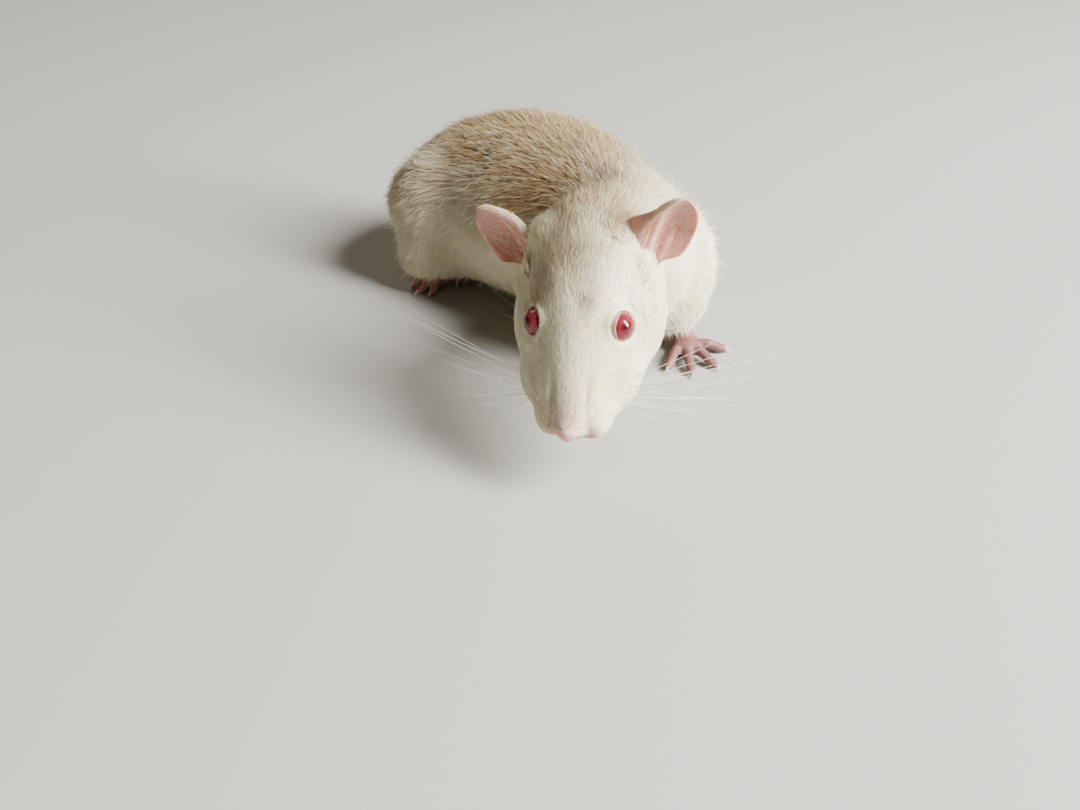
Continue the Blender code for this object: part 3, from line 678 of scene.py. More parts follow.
def grow(name, fields, weights, count, width, stretch, height, spread, pull, levels):
    """A layer of coat over the part of the skin that the weights give."""
    corners, shares = surface_samples(fields, weights, count)

    def here(key):
        return mixed(fields[key], corners, shares)

    roots, normal, flow = here("at"), unit(here("normal")), unit(here("flow"))
    length = here("length") * stretch * rng.uniform(0.7, 1.15, count)
    sideways = rng.normal(0, spread, count) + 0.16 * ripple(roots, 16.0, 5) + 0.14 * ripple(roots, 5.0, 7)
    flow = unit(flow + np.cross(normal, flow) * sideways[:, None])
    heights = here("depth") * height * rng.uniform(0.6, 1.15, count)
    roots = roots - normal * 0.1
    mids = settle(fields, roots + flow * (length * 0.5)[:, None], heights * 0.8)
    tips = settle(fields, mids + unit(mids - roots) * (length * 0.5)[:, None], heights)
    tips = clumped(roots, tips, pull)
    for points in (roots, mids, tips):
        points[:, 2] = np.maximum(points[:, 2], TUFT_CLEAR)
    across = unit(np.cross(normal, unit(tips - roots)))
    roll = rng.normal(0, 0.5, count)
    across = unit(across * np.cos(roll)[:, None] + normal * np.sin(roll)[:, None])
    facts = {
        "fawn_and_painted_shading": np.clip(here("fawn_and_painted_shading") * rng.normal(1.0, 0.26, count), 0, 1),
        "tone": rng.random(count),
        "blush": here("blush"),
    }
    width = width * rng.uniform(0.7, 1.2, count)
    return tufts(name, roots, mids, tips, across, width, facts, here("map"), normal, levels)


def short_hairs(name, roots, normal, flow, length, rise, bow, width, fawn_and_painted_shading, blush, patch):
    """Hairs that lie along bare skin: they rise by a share of their length, and bow a little."""
    count = len(roots)
    tips = roots + flow * length[:, None] + normal * (length * rise)[:, None]
    mids = (roots + tips) / 2 + normal * np.reshape(bow, (-1, 1))
    across = unit(np.cross(normal, flow))
    facts = {"fawn_and_painted_shading": np.full(count, fawn_and_painted_shading), "tone": rng.random(count), "blush": np.full(count, blush)}
    return tufts(name, roots, mids, tips, across, np.full(count, width), facts, patch, normal)


# Materials

WHITE_FUR = (0.95, 0.93, 0.76)
CREAM_FUR = (0.92, 0.84, 0.56)
FAWN_FUR = (0.20, 0.104, 0.033)
TAN_FUR = (0.31, 0.182, 0.058)
# Paw skin, mauve pink, darkened partly as painted shade on the forepaws.
PINK_SKIN_AND_SHADE = (0.17, 0.072, 0.067)
PALE_SKIN_AND_SHADE = (0.235, 0.115, 0.107)
# Nose pink, also lifted onto the hind paws as painted light.
NOSE_PINK = (0.70, 0.40, 0.37)
# Painted shade inside the nostrils.
NOSTRIL_SHADE_RED = (0.20, 0.06, 0.05)
HAIR_TONE = (0.94, 0.88, 0.70)
# Painted glow of light through the ear's thin crease.
CREASE_GLOW_RED = (0.78, 0.24, 0.14)
PUPIL_RUBY = (0.045, 0.001, 0.004)
DARK_RUBY = (0.12, 0.008, 0.018)
LIGHT_RUBY = (0.23, 0.026, 0.046)
EDGE_RUBY = (0.055, 0.002, 0.006)
FLOOR_GREY = (0.44, 0.435, 0.42, 1.0)
ROOM_BROWN = (0.84, 0.72, 0.56, 1.0)
UNDER_SKIN = (1.0, 0.35, 0.25)  # how far red, green and blue light goes under the skin
GRAIN_DEPTH = 0.0002


def set_inputs(node, settings):
    """Sets inputs by their names, with a low line for each space."""
    for key, value in settings.items():
        node.inputs[key.replace("_", " ")].default_value = value


class Look:
    """A material, and the nodes that feed its shader."""

    def __init__(self, name, **settings):
        self.material = bpy.data.materials.new(name)
        self.material.use_nodes = True
        self.nodes = self.material.node_tree.nodes
        self.link = self.material.node_tree.links.new
        self.shader = self.nodes["Principled BSDF"]
        set_inputs(self.shader, settings)

    def add(self, kind, **settings):
        node = self.nodes.new(kind)
        set_inputs(node, settings)
        return node

    def attribute(self, name):
        node = self.nodes.new("ShaderNodeAttribute")
        node.attribute_name = name
        return node.outputs["Fac"]

    def noise(self, scale, detail):
        place = self.nodes.new("ShaderNodeTexCoord")
        node = self.add("ShaderNodeTexNoise", Scale=scale, Detail=detail)
        self.link(place.outputs["Object"], node.inputs["Vector"])
        return node.outputs["Fac"]

    def scaled(self, value, low, high, most=1.0):
        """A value from low to high as a share from 0 to most."""
        node = self.add("ShaderNodeMapRange", From_Min=low, From_Max=high, To_Max=most)
        self.link(value, node.inputs["Value"])
        return node.outputs["Result"]

    def patches(self, scale, most=1.0):
        """Soft patches as a share from 0 to most."""
        return self.scaled(self.noise(scale, 3.0), 0.3, 0.7, most)

    def blend(self, share, first, second):
        """A colour between two. Each is a socket or a tuple."""
        node = self.nodes.new("ShaderNodeMix")
        node.data_type = "RGBA"
        for socket, value in ((node.inputs[6], first), (node.inputs[7], second)):
            if isinstance(value, tuple):
                socket.default_value = (*value, 1.0)
            else:
                self.link(value, socket)
        self.link(share, node.inputs[0])
        return node.outputs[2]

    def fur(self):
        """White to fawn by the markings and by painted light and shade, with a little change from place to
        place.
        """
        fawn_and_painted_shading, patches = self.attribute("fawn_and_painted_shading"), self.patches(90.0)
        light = self.blend(patches, WHITE_FUR, CREAM_FUR)
        dark = self.blend(patches, FAWN_FUR, TAN_FUR)
        return self.blend(self.attribute("blush"), self.blend(fawn_and_painted_shading, light, dark), NOSE_PINK)

    def relief(self, strength, scale):
        """The fine grain of skin."""
        bump = self.add("ShaderNodeBump", Strength=strength, Distance=GRAIN_DEPTH)
        self.link(self.noise(scale, 4.0), bump.inputs["Height"])
        self.link(bump.outputs["Normal"], self.shader.inputs["Normal"])

    def coloured(self, socket):
        self.link(socket, self.shader.inputs["Base Color"])
        return self.material


def fur_material():
    look = Look("fur", Roughness=0.62, Specular_IOR_Level=0.35, Sheen_Weight=0.04, Sheen_Roughness=0.5)
    tone = look.scaled(look.attribute("tone"), 0.0, 1.0, 0.12)
    return look.coloured(look.blend(tone, look.fur(), HAIR_TONE))


def skin_look(name, roughness, weight, scale):
    """Skin with light under its surface."""
    under = {"Subsurface Weight": weight, "Subsurface Scale": scale, "Subsurface Radius": UNDER_SKIN}
    return Look(name, Roughness=roughness, **under)


def skin_material():
    look = skin_look("skin", 0.5, 0.25, 0.0015)
    pink = look.blend(look.patches(260.0), PINK_SKIN_AND_SHADE, PALE_SKIN_AND_SHADE)
    # Nose pink on the nose, and as painted light on the hind paws.
    pink = look.blend(look.attribute("nose"), pink, NOSE_PINK)
    colour = look.blend(look.attribute("bare"), look.fur(), pink)
    look.relief(0.35, 1500.0)
    # Painted shade in the nostrils.
    return look.coloured(look.blend(look.attribute("nostril"), colour, NOSTRIL_SHADE_RED))


def bare_material(name, deep, pale, roughness, glow):
    """Thin pink skin: deeper where flush is high, and painted red in a crease for light glowing through it.
    """
    look = skin_look(name, roughness, glow, 0.002)
    ground = look.blend(look.patches(420.0, 0.35), pale, deep)
    colour = look.blend(look.attribute("flush"), ground, deep)
    look.relief(0.3, 1800.0)
    return look.coloured(look.blend(look.attribute("crease"), colour, CREASE_GLOW_RED))


def graded_material(name, root, tip, **settings):
    """A colour that runs from the root to the tip, a little mottled."""
    look = Look(name, **settings)
    graded = look.blend(look.attribute("along"), root, tip)
    return look.coloured(look.blend(look.patches(700.0, 0.15), graded, root))


def eye_material():
    """Ruby, deepest in the pupil and dark again at the edge, under a wet coat."""
    wet = {"Coat Weight": 0.55, "Coat Roughness": 0.09, "IOR": 1.36, "Specular IOR Level": 0.25}
    look = Look("ruby eye", Roughness=0.22, **wet)
    gaze = look.attribute("gaze")
    iris = look.blend(look.patches(900.0), DARK_RUBY, LIGHT_RUBY)
    iris = look.blend(look.scaled(gaze, 0.10, 0.36), PUPIL_RUBY, iris)
    return look.coloured(look.blend(look.scaled(gaze, 0.55, 0.85), iris, EDGE_RUBY))


def give(obj, material):
    """Material, body and slot of a finished piece."""
    obj.data.materials.clear()
    obj.data.materials.append(material)
    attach(obj, "root")
    return obj


# The ears' blades

EAR_LENGTH = 17.2
EAR_HALF_WIDTH = 7.1
EAR_WIDEST = 0.45  # share of the length
EAR_ROOT_WIDTH = 0.55  # share of the greatest width
EAR_BOW = 2.0
EAR_THICK = 0.42
EAR_BENDS = (112.0, 42.0)  # bend across the ear at the root, and where it has unrolled
EAR_UNROLLED = 0.62  # share of the length
EAR_FOLD_AT = 0.38  # share of the inner half where the edge folds back
# Lean of the fold in degrees, and its spread near the root and near the tip.
EAR_FOLDS = {"ear_left": (48.0, 1.55, 0.35), "ear_right": (55.0, 0.55, 0.40)}
EAR_DRAWN_IN = 0.5  # narrowing of the outer side at the root
EAR_SUNK = 2.0  # how far the root runs on into the head
# The left ear's fawn on the fold is partly painted shade, on the fold's side away from the window.
EAR_FAWN_AND_SHADE = {"ear_left": 0.75, "ear_right": 0.0}  # how fawn the hairs on the fold are


def unit_grid(name, columns, rows):
    """A square sheet as a primitive, with each vertex's place on it from 0 to 1."""
    deselect()
    bpy.ops.mesh.primitive_grid_add(x_subdivisions=columns, y_subdivisions=rows, size=1.0)
    sheet = newest(name)
    place = coordinates(sheet)
    return sheet, place[:, 0] + 0.5, place[:, 1] + 0.5


def ear_shape(name, across_share, v):
    """Points of the ear's sheet: across from -1 to 1, v from 0 at the root to 1 at the tip."""
    root, to_tip, opening = (np.array(row) for row in EARS[name])
    to_tip = unit(to_tip)
    opening = unit(opening - to_tip * (opening @ to_tip))
    across = np.cross(to_tip, opening)
    inner = EAR_INNER[name]
    inward = across_share * inner  # 1 at the edge nearest the crown
    above = np.sqrt(np.clip(1 - ((v - EAR_WIDEST) / (1 - EAR_WIDEST)) ** 2, 0.002, 1))
    below = EAR_ROOT_WIDTH + (1 - EAR_ROOT_WIDTH) * np.sin(np.clip(v / EAR_WIDEST, 0, 1) * math.pi / 2)
    half = EAR_HALF_WIDTH * np.where(v > EAR_WIDEST, above, below)
    lean, spread, tip_spread = EAR_FOLDS[name]
    spread = mix(tip_spread, spread, smoothstep(0.72, 0.28, v))
    folded = smoothstep(0.02, 0.16, v)
    inward = inward * (1.0 - EAR_DRAWN_IN * smoothstep(0.34, 0.02, v) * (inward < 0.0))
    over = np.maximum(0.0, inward - EAR_FOLD_AT)
    over = over**2 / (over + 0.08) * folded
    bend = np.radians(np.interp(v, (0, EAR_UNROLLED), EAR_BENDS))
    radius = half / bend
    angle = inner * (inward - over) * bend
    rim = smoothstep(0.84, 1.0, -inward) * smoothstep(0.1, 0.35, v)
    within = smoothstep(0.05, 0.2, v) * smoothstep(0.8, 0.45, v)
    ridge = bell(inward, 0.12 + 0.2 * v, 0.12) * within
    fold = bell(inward, 0.3 * v - 0.45, 0.12) * smoothstep(0.0, 0.2, v) * smoothstep(0.6, 0.3, v)
    crease = bell(inward, EAR_FOLD_AT + 0.05, 0.13) * within
    forward = radius * (1 - np.cos(angle)) - EAR_BOW * np.sin(math.pi * v)
    forward = forward + 0.35 * rim + 0.8 * ridge + 0.4 * fold - 0.4 * crease
    sunk = EAR_SUNK * smoothstep(0.14, 0.0, v)
    points = root + to_tip * (EAR_LENGTH * v - sunk)[:, None]
    points = points + across * (radius * np.sin(angle))[:, None] + opening * forward[:, None]
    fold_way = inner * across * math.cos(math.radians(lean)) - opening * math.sin(math.radians(lean))
    points = points + fold_way * (over * half * spread)[:, None]
    return NOSE_TIP + points @ HEAD_TURN.T, np.maximum(ridge, fold), crease


def make_ear(name):
    """A thin translucent cup with a rolled root, two low folds and a soft rim."""
    ear, s, t = unit_grid(name + "_shell", 36, 40)
    v = np.sin(math.pi / 2 * t)
    points, folds, crease = ear_shape(name, 2 * s - 1, v)
    set_coordinates(ear, to_world(points))
    inward = EAR_INNER[name] * (2 * s - 1)
    hollow = smoothstep(0.6, 0.1, abs(inward + 0.25)) * smoothstep(0.95, 0.35, v)
    set_attribute(ear, "flush", np.clip(0.95 * hollow - 0.5 * folds, 0, 1))
    set_attribute(ear, "crease", crease)
    finish_modifier(ear, "SOLIDIFY", thickness=EAR_THICK * MM, offset=0.0)
    finish_modifier(ear, "SUBSURF", levels=1, render_levels=1)
    smooth_shade(ear)
    return ear


def ear_hairs(name, count):
    """Fine short hairs that lie along the ear towards its rim, on both faces."""
    near_crown = rng.random(count) < 0.45
    folded = rng.uniform(EAR_FOLD_AT, 0.98, count)
    inward = np.where(near_crown, folded, rng.uniform(-0.98, 0.98, count))
    s = inward * EAR_INNER[name]
    v = rng.uniform(0.08, 0.99, count) ** 0.8
    on_fold = smoothstep(EAR_FOLD_AT, 0.7, inward) * smoothstep(0.85, 0.5, v)
    here = ear_shape(name, s, v)[0]
    onward = ear_shape(name, s, np.minimum(v + 0.04, 1.0))[0] - here
    sideways = ear_shape(name, s + 0.05, v)[0] - here
    flow = unit(onward + rng.normal(0, 0.15, (count, 3)))
    out = unit(np.cross(sideways, onward)) * np.where(rng.random(count) < 0.6, -1.0, 1.0)[:, None]
    length = rng.uniform(0.8, 1.7, count)
    roots = here + out * EAR_THICK * 0.4
    patch = np.stack((s * 0.5 + 0.5, v), axis=1)
    fawn_and_painted_shading, blush = EAR_FAWN_AND_SHADE[name] * on_fold, 0.45 - 0.3 * on_fold
    bow = length * 0.075
    return short_hairs(name + "_hairs", roots, out, flow, length, 0.25, bow, 0.05, fawn_and_painted_shading, blush, patch)


# The tail lies on the floor round the back of the body: its route, and its radius there.

TAIL = (
    (-36.5, 30.0, 15.0, 4.9),
    (-42.0, 34.5, 11.0, 4.8),
    (-44.5, 43.0, 7.0, 4.4),
    (-43.0, 54.0, 4.4, 4.1),
    (-33.5, 66.5, 3.6, 3.7),
    (-13.0, 74.0, 3.1, 3.3),
    (8.0, 73.5, 2.7, 2.9),
    (27.5, 64.5, 2.3, 2.5),
    (41.0, 49.0, 1.9, 2.1),
    (47.0, 31.0, 1.4, 1.6),
    (45.5, 14.0, 0.8, 0.9),
)
TAIL_SIDES = 28
TAIL_ROWS = 1000
TAIL_RING = 0.95  # from one ring of scales to the next at the root


def tail_line():
    """Even stations along the tail: point, way, radius and length so far."""
    line = catmull_rom(TAIL, 40)
    step = np.linalg.norm(np.diff(line[:, :3], axis=0), axis=1)
    run = np.concatenate(([0.0], np.cumsum(step)))
    even = np.linspace(0.0, run[-1], TAIL_ROWS + 1)
    line = np.stack([np.interp(even, run, line[:, k]) for k in range(4)], axis=1)
    return line[:, :3], unit(np.gradient(line[:, :3], axis=0)), line[:, 3], even


def tail_out(way, angle):
    """The way out of the tail at an angle round it."""
    side = unit(np.cross(way, (0.0, 0.0, 1.0)))
    return side * np.cos(angle)[:, None] + np.cross(side, way) * np.sin(angle)[:, None]


def make_tail():
    """A tapered tail with rings of scales."""
    centre, way, radius, run = tail_line()
    tail, s, t = unit_grid("tail_scaled", TAIL_SIDES, TAIL_ROWS)
    row = np.round(t * TAIL_ROWS).astype(int)
    pitch = TAIL_RING * (0.5 + 0.5 * radius / radius[0])
    turns = np.concatenate(([0.0], np.cumsum(np.diff(run) / pitch[1:])))
    phase = turns[row] % 1.0
    reach = radius[row] - 0.12 + 0.055 * (phase**0.6 - 0.5)
    reach = reach * (0.12 + 0.88 * np.sqrt(smoothstep(0.0, 1.2, run[-1] - run[row])))
    points = centre[row] + tail_out(way[row], s * 2 * math.pi) * reach[:, None]
    points[:, 2] = np.maximum(points[:, 2], 0.02)
    set_coordinates(tail, to_world(points))
    set_attribute(tail, "flush", smoothstep(0.25, 0.0, phase) * 0.8 + 0.2 * smoothstep(0.0, 60.0, run[row]))
    edit(tail, lambda: bpy.ops.mesh.remove_doubles(threshold=2e-6))
    face_outward(tail)
    return tail


def tail_hairs(count):
    """Short stiff hairs between the scales, lying towards the tip."""
    centre, way, radius, run = tail_line()
    row = rng.integers(0, TAIL_ROWS - 30, count)
    angle = rng.uniform(-0.5, math.pi + 0.5, count)
    normal = tail_out(way[row], angle)
    roots = centre[row] + normal * (radius[row] - 0.2)[:, None]
    length = rng.uniform(1.0, 2.0, count) * (0.6 + 0.4 * radius[row] / radius[0])
    flow = unit(way[row] + rng.normal(0, 0.12, (count, 3)))
    patch = np.stack((run[row] / run[-1], angle / (2 * math.pi) % 1.0), axis=1)
    return short_hairs("tail_hairs", roots, normal, flow, length, 0.28, length * 0.06, 0.08, 0.0, 0.2, patch)


# Eyes and lids

LID_OPENING = {1: 50.0, -1: 54.0}  # half angle of the opening, in degrees
LID_RAISED = {1: -2.0, -1: 14.0}  # more or less of it towards the crown
LID_LOWERED = 12.0  # more of it towards the cheek
LID_CORNERS = (12.0, 18.0)  # more of it at the front and at the back corner
LID_FLATTENED = 4.0  # less of it above and below
LID_WIDE = 9.0  # half of the lid's own width, in degrees
LID_THICK = 0.22
LID_RING = 0.25  # half width of the ring that the lids are shaped from, whose radius is 1


def eye_frame(side):
    """The eye's centre, the way it looks, the way to its front corner and the third way."""
    centre = head_point((side * EYE_PLACE[0], *EYE_PLACE[1:]))
    out = HEAD_TURN @ unit((side * EYE_OUT[0], *EYE_OUT[1:]))
    front = HEAD_TURN @ np.array((0.0, -1.0, -0.25))
    front = unit(front - out * (front @ out))
    return centre, out, front, np.cross(out, front)


def make_eye(name, side):
    """A wet ruby eyeball with its pole at the pupil."""
    centre, out, front, third = eye_frame(side)
    deselect()
    bpy.ops.mesh.primitive_uv_sphere_add(segments=64, ring_count=40, radius=1.0)
    eye = newest(name + "_ball")
    ball = coordinates(eye)
    set_attribute(eye, "gaze", np.degrees(np.arccos(np.clip(ball[:, 2], -1, 1))) / 90.0)
    points = centre + EYE_RADIUS * (ball[:, :1] * front + ball[:, 1:2] * third + ball[:, 2:] * out)
    set_coordinates(eye, to_world(points))
    face_outward(eye)
    return eye


def lid_opening(around, side):
    """Half angle of the opening: an almond, pointed at the back corner, with a small hollow in front."""
    raised = LID_RAISED[side] * np.maximum(0.0, -side * np.sin(around)) ** 2
    lowered = LID_LOWERED * np.maximum(0.0, side * np.sin(around)) ** 2
    front = LID_CORNERS[0] * np.maximum(0.0, np.cos(around)) ** 6
    back = LID_CORNERS[1] * np.maximum(0.0, -np.cos(around)) ** 5
    flattened = LID_FLATTENED * np.sin(around) ** 2
    return LID_OPENING[side] - flattened + raised + lowered + back + front


def lid_place(side, around, across):
    """The eye's centre, the way from it to a place on the lids, and the way on from the opening there."""
    centre, out, front, third = eye_frame(side)
    reach = np.radians(lid_opening(around, side) + LID_WIDE * (1.0 + across))[:, None]
    way = front * np.cos(around)[:, None] + third * np.sin(around)[:, None]
    return centre, way * np.sin(reach) + out * np.cos(reach), way * np.cos(reach) - out * np.sin(reach)


def make_lids(name, side):
    """A soft ring of lid that wraps over the eyeball, pointed a little at its two corners."""
    deselect()
    bpy.ops.mesh.primitive_torus_add(
        major_radius=1.0, minor_radius=LID_RING, major_segments=72, minor_segments=16)
    lids = newest(name + "_lids")
    ring = coordinates(lids)
    around = np.arctan2(ring[:, 1], ring[:, 0])
    across = (np.hypot(ring[:, 0], ring[:, 1]) - 1.0) / LID_RING
    rise = ring[:, 2] / LID_RING
    height = EYE_RADIUS + 0.02 + LID_THICK * (0.5 + 0.5 * rise) * (1.0 - smoothstep(-0.3, 1.0, across))
    centre, normal, _ = lid_place(side, around, across)
    set_coordinates(lids, to_world(centre + normal * height[:, None]))
    corners = np.maximum(0.0, np.cos(around)) ** 3 + 0.8 * np.maximum(0.0, -np.cos(around)) ** 6
    set_attribute(lids, "flush", smoothstep(0.3 + 0.7 * corners, -0.8, across))
    face_outward(lids)
    return lids


def lid_hairs(name, side, count):
    """Very short hairs on the lids and just outside them, lying away from the eye."""
    around = rng.uniform(-math.pi, math.pi, count)
    across = rng.uniform(0.1, 2.4, count)
    centre, normal, outward = lid_place(side, around, across)
    lie = HEAD_TURN @ np.array((0.0, 1.0, 0.2))
    flow = unit(outward + 0.6 * (lie - normal * (normal @ lie)[:, None]))
    length = rng.uniform(0.6, 1.2, count)
    roots = centre + normal * (EYE_RADIUS + 0.05)
    patch = np.stack((around / (2 * math.pi) + 0.5, np.clip(across, 0, 1)), axis=1)
    blush = 0.35 * smoothstep(1.4, 0.2, across)
    return short_hairs(name + "_lashes", roots, normal, flow, length, 0.35, 0.08, 0.1, 0.0, blush, patch)


# Claws and whiskers

def swept(name, lines, radii, sides):
    """Thin bars along lines of points, as one mesh. Every line has the same number of points."""
    count, steps, _ = lines.shape
    way = unit(np.gradient(lines, axis=1))
    helper = np.where(abs(way[..., 2:]) < 0.9, (0.0, 0.0, 1.0), (0.0, 1.0, 0.0))
    side = unit(np.cross(way, helper))
    up = np.cross(side, way)
    angles = np.arange(sides) * 2 * math.pi / sides
    ring = side[:, :, None] * np.cos(angles)[:, None] + up[:, :, None] * np.sin(angles)[:, None]
    points = lines[:, :, None] + ring * radii[:, :, None, None]
    index = np.arange(count * steps * sides).reshape(count, steps, sides)
    near, far = index[:, :-1], index[:, 1:]
    quads = np.stack((near, np.roll(near, -1, axis=2), np.roll(far, -1, axis=2), far), axis=-1)
    faces = quads.reshape(-1, 4).tolist() + index[:, 0, ::-1].tolist() + index[:, -1].tolist()
    obj = mesh_from_arrays(name, to_world(points.reshape(-1, 3)), faces)
    set_attribute(obj, "along", np.tile(np.repeat(np.linspace(0, 1, steps), sides), count))
    face_outward(obj)
    return obj


CLAW_STEPS = 7
CLAW_LENGTH = 2.3
CLAW_RADIUS = 0.48


def make_claws():
    """A short hooked claw on the end of each toe."""
    lines = []
    t = np.linspace(0.0, 1.0, CLAW_STEPS)[:, None]
    for wrist, angle, side, toes, radius in PAWS.values():
        paw = turn(angle + 180.0, "Z")
        for x, y, splay, length in toes:
            way = turn(-splay * side, "Z") @ np.array((0.0, 1.0, 0.0))
            start = np.array((x * side, y, radius * 1.15)) + way * (length * 0.9)
            drop = np.array((0.0, 0.0, 1.0)) * (radius * t**2 - 0.5 * t * (1 - t))
            lines.append((start + way * CLAW_LENGTH * t - drop) @ paw.T + np.array((*wrist, 0.0)))
    radii = np.tile(CLAW_RADIUS * (1.0 - t.T) ** 0.7 + 0.03, (len(lines), 1))
    return swept("claws", np.array(lines), radii, 10)


WHISKER_STEPS = 14


def whisker_roots():
    """Whiskers in rows on each pad, and a few on cheek and chin: root, way, length and radius."""
    rows = []
    for side in (-1, 1):
        for row in range(5):
            for column in range(5):
                place = (side * 14.0, 13.5 - 2.1 * column + 0.3 * row, 2.6 - 1.8 * row)
                way = (side, 0.32 - 0.13 * column, 0.12 - 0.15 * row)
                rows.append((place, way, (46.0 - 3.0 * row) * 0.77**column, 0.075))
        rows.append(((side * 20.0, 30.0, -3.0), (side, 0.7, -0.2), 16.0, 0.05))
        rows.append(((side * 20.0, 28.0, -6.0), (side, 0.4, -0.5), 12.0, 0.05))
        for k in range(3):
            rows.append(((side * (1.0 + k), 8.0 + 1.5 * k, -20.0), (side * 0.4, 0.5, -1.0), 8.0, 0.04))
    return rows


def make_whiskers(tree):
    """Long tapered whiskers that sweep back and droop."""
    lines, radii = [], []
    t = np.linspace(0.0, 1.0, WHISKER_STEPS)
    for place, way, length, thick in whisker_roots():
        root, normal, _, _ = tree.find_nearest(head_point(place).tolist())
        way = HEAD_TURN @ (unit(way) + rng.normal(0, 0.10, 3))
        length = length * rng.uniform(0.85, 1.1)
        sweep = HEAD_TURN @ np.array((0.0, 0.16, 0.0)) + np.array((0.0, 0.0, -0.12 + rng.normal(0, 0.05)))
        line = np.array(root) - np.array(normal) * 0.4 + unit(way) * (length * t)[:, None]
        line = line + sweep * (length * t**2)[:, None]
        line[:, 2] = np.maximum(line[:, 2], 0.4)
        lines.append(line)
        radii.append(thick * (1.0 - 0.9 * t))
    return swept("whiskers", np.array(lines), np.array(radii), 4)


# Putting the rat together

skin = make_skin()
fields = {"at": from_world(coordinates(skin)), "normal": normals(skin)}
regions = Regions(fields["at"], fields["normal"])
pairs = edges(skin)
fields["flow"] = unit(blurred(regions.flow(), pairs, 15))
fields["length"] = blurred(regions.length(), pairs, 8)
fields["depth"] = np.maximum(blurred(regions.depth(), pairs, 12), 0.25)
fields["fawn_and_painted_shading"] = regions.fawn_and_painted_shading()
fields["blush"] = regions.blush()
fields["map"] = skin_map(skin)
bare = regions.bare()
# Painted shade in the nostrils, and less fur there.
nostril = nostrils(regions.head) * regions.in_head
# Painted light: the hind paws are lifted towards nose pink, through the nose mark.
lit_hind_paw = 0.6 * regions.paw * smoothstep(-22.0, -8.0, regions.points[:, 1])
pink = np.maximum(smoothstep(8.0, 5.0, regions.head[:, 1]) * regions.in_head, lit_hind_paw)
marks = {"fawn_and_painted_shading": fields["fawn_and_painted_shading"], "blush": fields["blush"], "bare": bare, "nose": pink, "nostril": nostril}
for key, values in marks.items():
    set_attribute(skin, key, values)
fields["corners"] = triangle_corners(skin)
fields["tree"] = BVHTree.FromPolygons(fields["at"].tolist(), fields["corners"].tolist())
furred = (1.0 - smoothstep(0.2, 0.7, bare)) * (1.0 - 0.9 * nostril)
face = regions.in_head * furred
trunk = (1.0 - regions.in_head) * furred

# Locks at the ears' roots: a soft brush in front of each ear, and a tuft between ear and crown.
near_ear = np.zeros(len(bare))
ear_tuft = np.zeros(len(bare))
up_ear = np.zeros_like(fields["at"])
ear_fields = dict(fields)
ear_fields["depth"] = np.full(len(bare), 2.4)
ear_fields["length"] = np.full(len(bare), 4.8)
for name, (root, to_tip, opening) in EARS.items():
    brush = np.array(root) + 2.5 * unit(opening) + np.array((-1.5 * EAR_INNER[name], -1.0, -1.5))
    near = smoothstep(6.0, 4.0, gap(regions.head, brush))
    up_ear[near > 0] = HEAD_TURN @ unit(to_tip)
    near_ear = np.maximum(near_ear, near)
    # The left tuft's fawn is partly painted shade.
    place, reach, tall, tuft_fawn_and_shade = EAR_TUFTS[name]
    tuft = smoothstep(reach, 0.1 * reach, gap(regions.head, place))
    up_ear[tuft > 0] = HEAD_TURN @ unit((-0.4, 0.5, 0.8))
    for key, value in (("depth", tall), ("length", 5.2), ("fawn_and_painted_shading", tuft_fawn_and_shade)):
        ear_fields[key] = mix(ear_fields[key], value, tuft)
    ear_tuft = np.maximum(ear_tuft, tuft)
ear_fields["flow"] = unit(fields["flow"] + 1.2 * up_ear)

# Layers of coat: fields, part of the body, number of tufts, width, shares of the length and the height,
# wander of the hairs, draw into locks, and stations along a tuft.
LAYERS = {
    "coat_body_under": (fields, trunk, 62000, 0.28, 0.8, 0.75, 0.20, 0.10, SHORT_TUFT),
    "coat_body_middle": (fields, trunk, 64000, 0.19, 0.9, 0.95, 0.20, 0.12, SHORT_TUFT),
    "coat_body_top": (fields, trunk, 64000, 0.14, 0.9, 1.1, 0.22, 0.15, SHORT_TUFT),
    "coat_body_guard": (fields, trunk, 39000, 0.10, 1.1, 1.4, 0.25, 0.15, LONG_TUFT),
    "coat_body_stray": (fields, trunk, 3200, 0.07, 1.3, 2.4, 0.35, 0.35, LONG_TUFT),
    "coat_head_under": (fields, face, 60000, 0.16, 0.9, 0.9, 0.16, 0.10, SHORT_TUFT),
    "coat_head_top": (fields, face, 60000, 0.11, 1.0, 1.1, 0.18, 0.12, SHORT_TUFT),
    "coat_head_fine": (fields, face, 50000, 0.08, 1.1, 1.25, 0.22, 0.12, SHORT_TUFT),
    "coat_ear_roots": (ear_fields, near_ear, 5000, 0.10, 1.0, 1.0, 0.30, 0.12, LONG_TUFT),
    "coat_ear_tufts": (ear_fields, ear_tuft, 6000, 0.12, 1.0, 0.9, 0.55, 0.55, LONG_TUFT),
}

fur = fur_material()
for name, settings in LAYERS.items():
    give(grow(name, *settings), fur)
give(skin, skin_material())
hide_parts(*TRUNK_NODES, *LEG_NODES, *PAW_NODES)

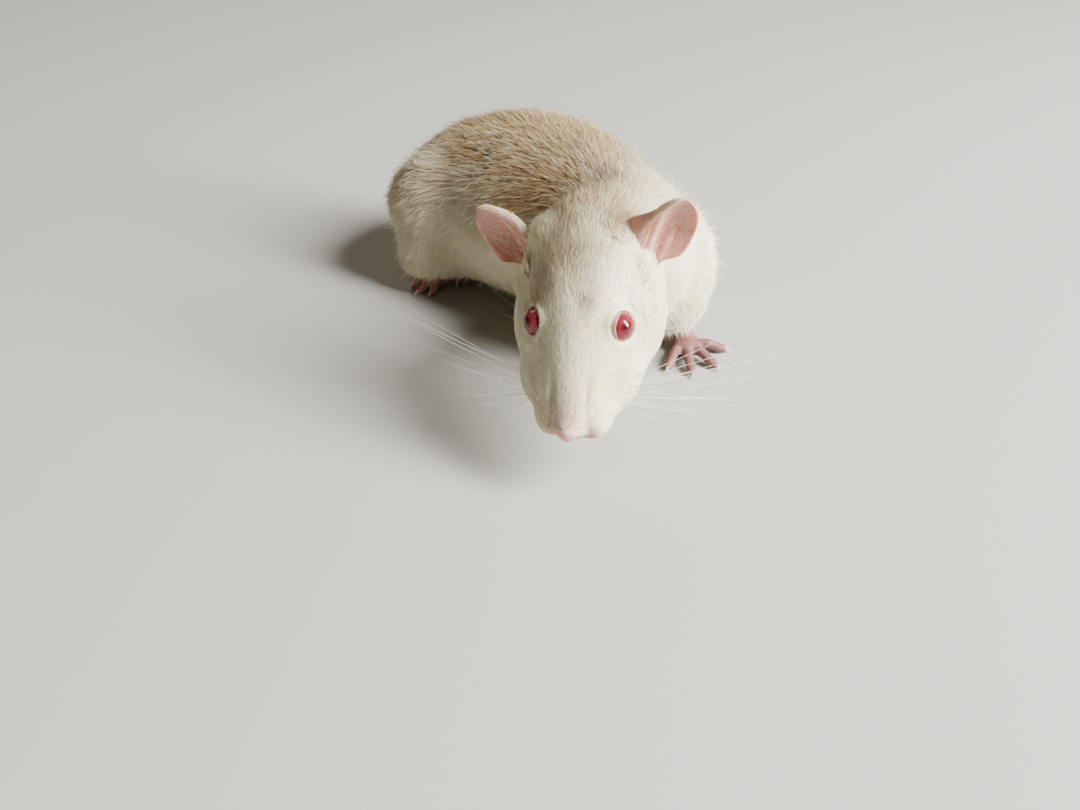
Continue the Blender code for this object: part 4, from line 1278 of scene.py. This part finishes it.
ear_look = bare_material("ear skin", (0.38, 0.125, 0.105), (0.68, 0.38, 0.33), 0.5, 0.4)
tail_look = bare_material("tail skin", (0.48, 0.26, 0.23), (0.70, 0.48, 0.43), 0.5, 0.25)
lid_look = bare_material("lid skin", (0.56, 0.19, 0.20), (0.86, 0.72, 0.65), 0.4, 0.3)
eye_look = eye_material()
for name in EARS:
    give(make_ear(name), ear_look)
    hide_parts(name)
    give(ear_hairs(name, EAR_HAIRS), fur)
give(make_tail(), tail_look)
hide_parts("tail_1", "tail_2", "tail_3", "tail_4")
give(tail_hairs(TAIL_HAIRS), fur)
for name, side in (("eye_left", 1), ("eye_right", -1)):
    give(make_eye(name, side), eye_look)
    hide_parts(name)
    give(make_lids(name, side), lid_look)
    give(lid_hairs(name, side, LID_HAIRS), fur)
horn = {"Roughness": 0.3, "Subsurface Weight": 0.2}
claw_look = graded_material("claw", (0.80, 0.50, 0.45), (0.86, 0.79, 0.70), **horn)
whisker_look = graded_material("whisker", (0.80, 0.74, 0.68), (0.96, 0.95, 0.93), Roughness=0.35)
give(make_claws(), claw_look)
give(make_whiskers(fields["tree"]), whisker_look)

# The camera, the light and the floor

deselect()
bpy.ops.mesh.primitive_plane_add(size=3.0, location=(0, 0.5, 0))
floor = newest("floor")
floor.data.materials.append(Look("pale floor", Roughness=0.8, Base_Color=FLOOR_GREY).material)

CAMERA_PLACE = (-2.1, -229.4, 143.9)
CAMERA_TILT = math.radians(52.0)
bpy.ops.object.camera_add(location=to_world(CAMERA_PLACE), rotation=(CAMERA_TILT, 0, 0))
camera = bpy.context.view_layer.objects.active
camera.data.lens = 30.0
camera.data.sensor_width = 36.0
camera.data.clip_start = 0.005
bpy.context.scene.camera = camera

# Soft lights that face the rat's shoulders: place, width and height in metres, power and colour.
LIGHTS = {
    "window": ((0.82, -0.36, 0.62), 0.3, 0.9, 68.0, (1.0, 0.98, 0.92)),
    "fill": ((-0.6, -0.5, 0.35), 0.7, 0.7, 0.42, (1.0, 0.70, 0.40)),
    "rim": ((-0.4, 0.75, 0.7), 0.5, 0.5, 2.8, (1.0, 0.90, 0.74)),
}
for name, (place, width, height, power, colour) in LIGHTS.items():
    bpy.ops.object.light_add(type="AREA", location=place)
    light = newest(name)
    light.data.shape = "RECTANGLE"
    light.data.size = width
    light.data.size_y = height
    light.data.energy = power
    light.data.color = colour
    way = Vector((0.0, -0.02, 0.03)) - Vector(place)
    light.rotation_euler = way.to_track_quat("-Z", "Y").to_euler()

world = bpy.data.worlds.new("room")
world.use_nodes = True
set_inputs(world.node_tree.nodes["Background"], {"Color": ROOM_BROWN, "Strength": 0.055})
bpy.context.scene.world = world

deselect()
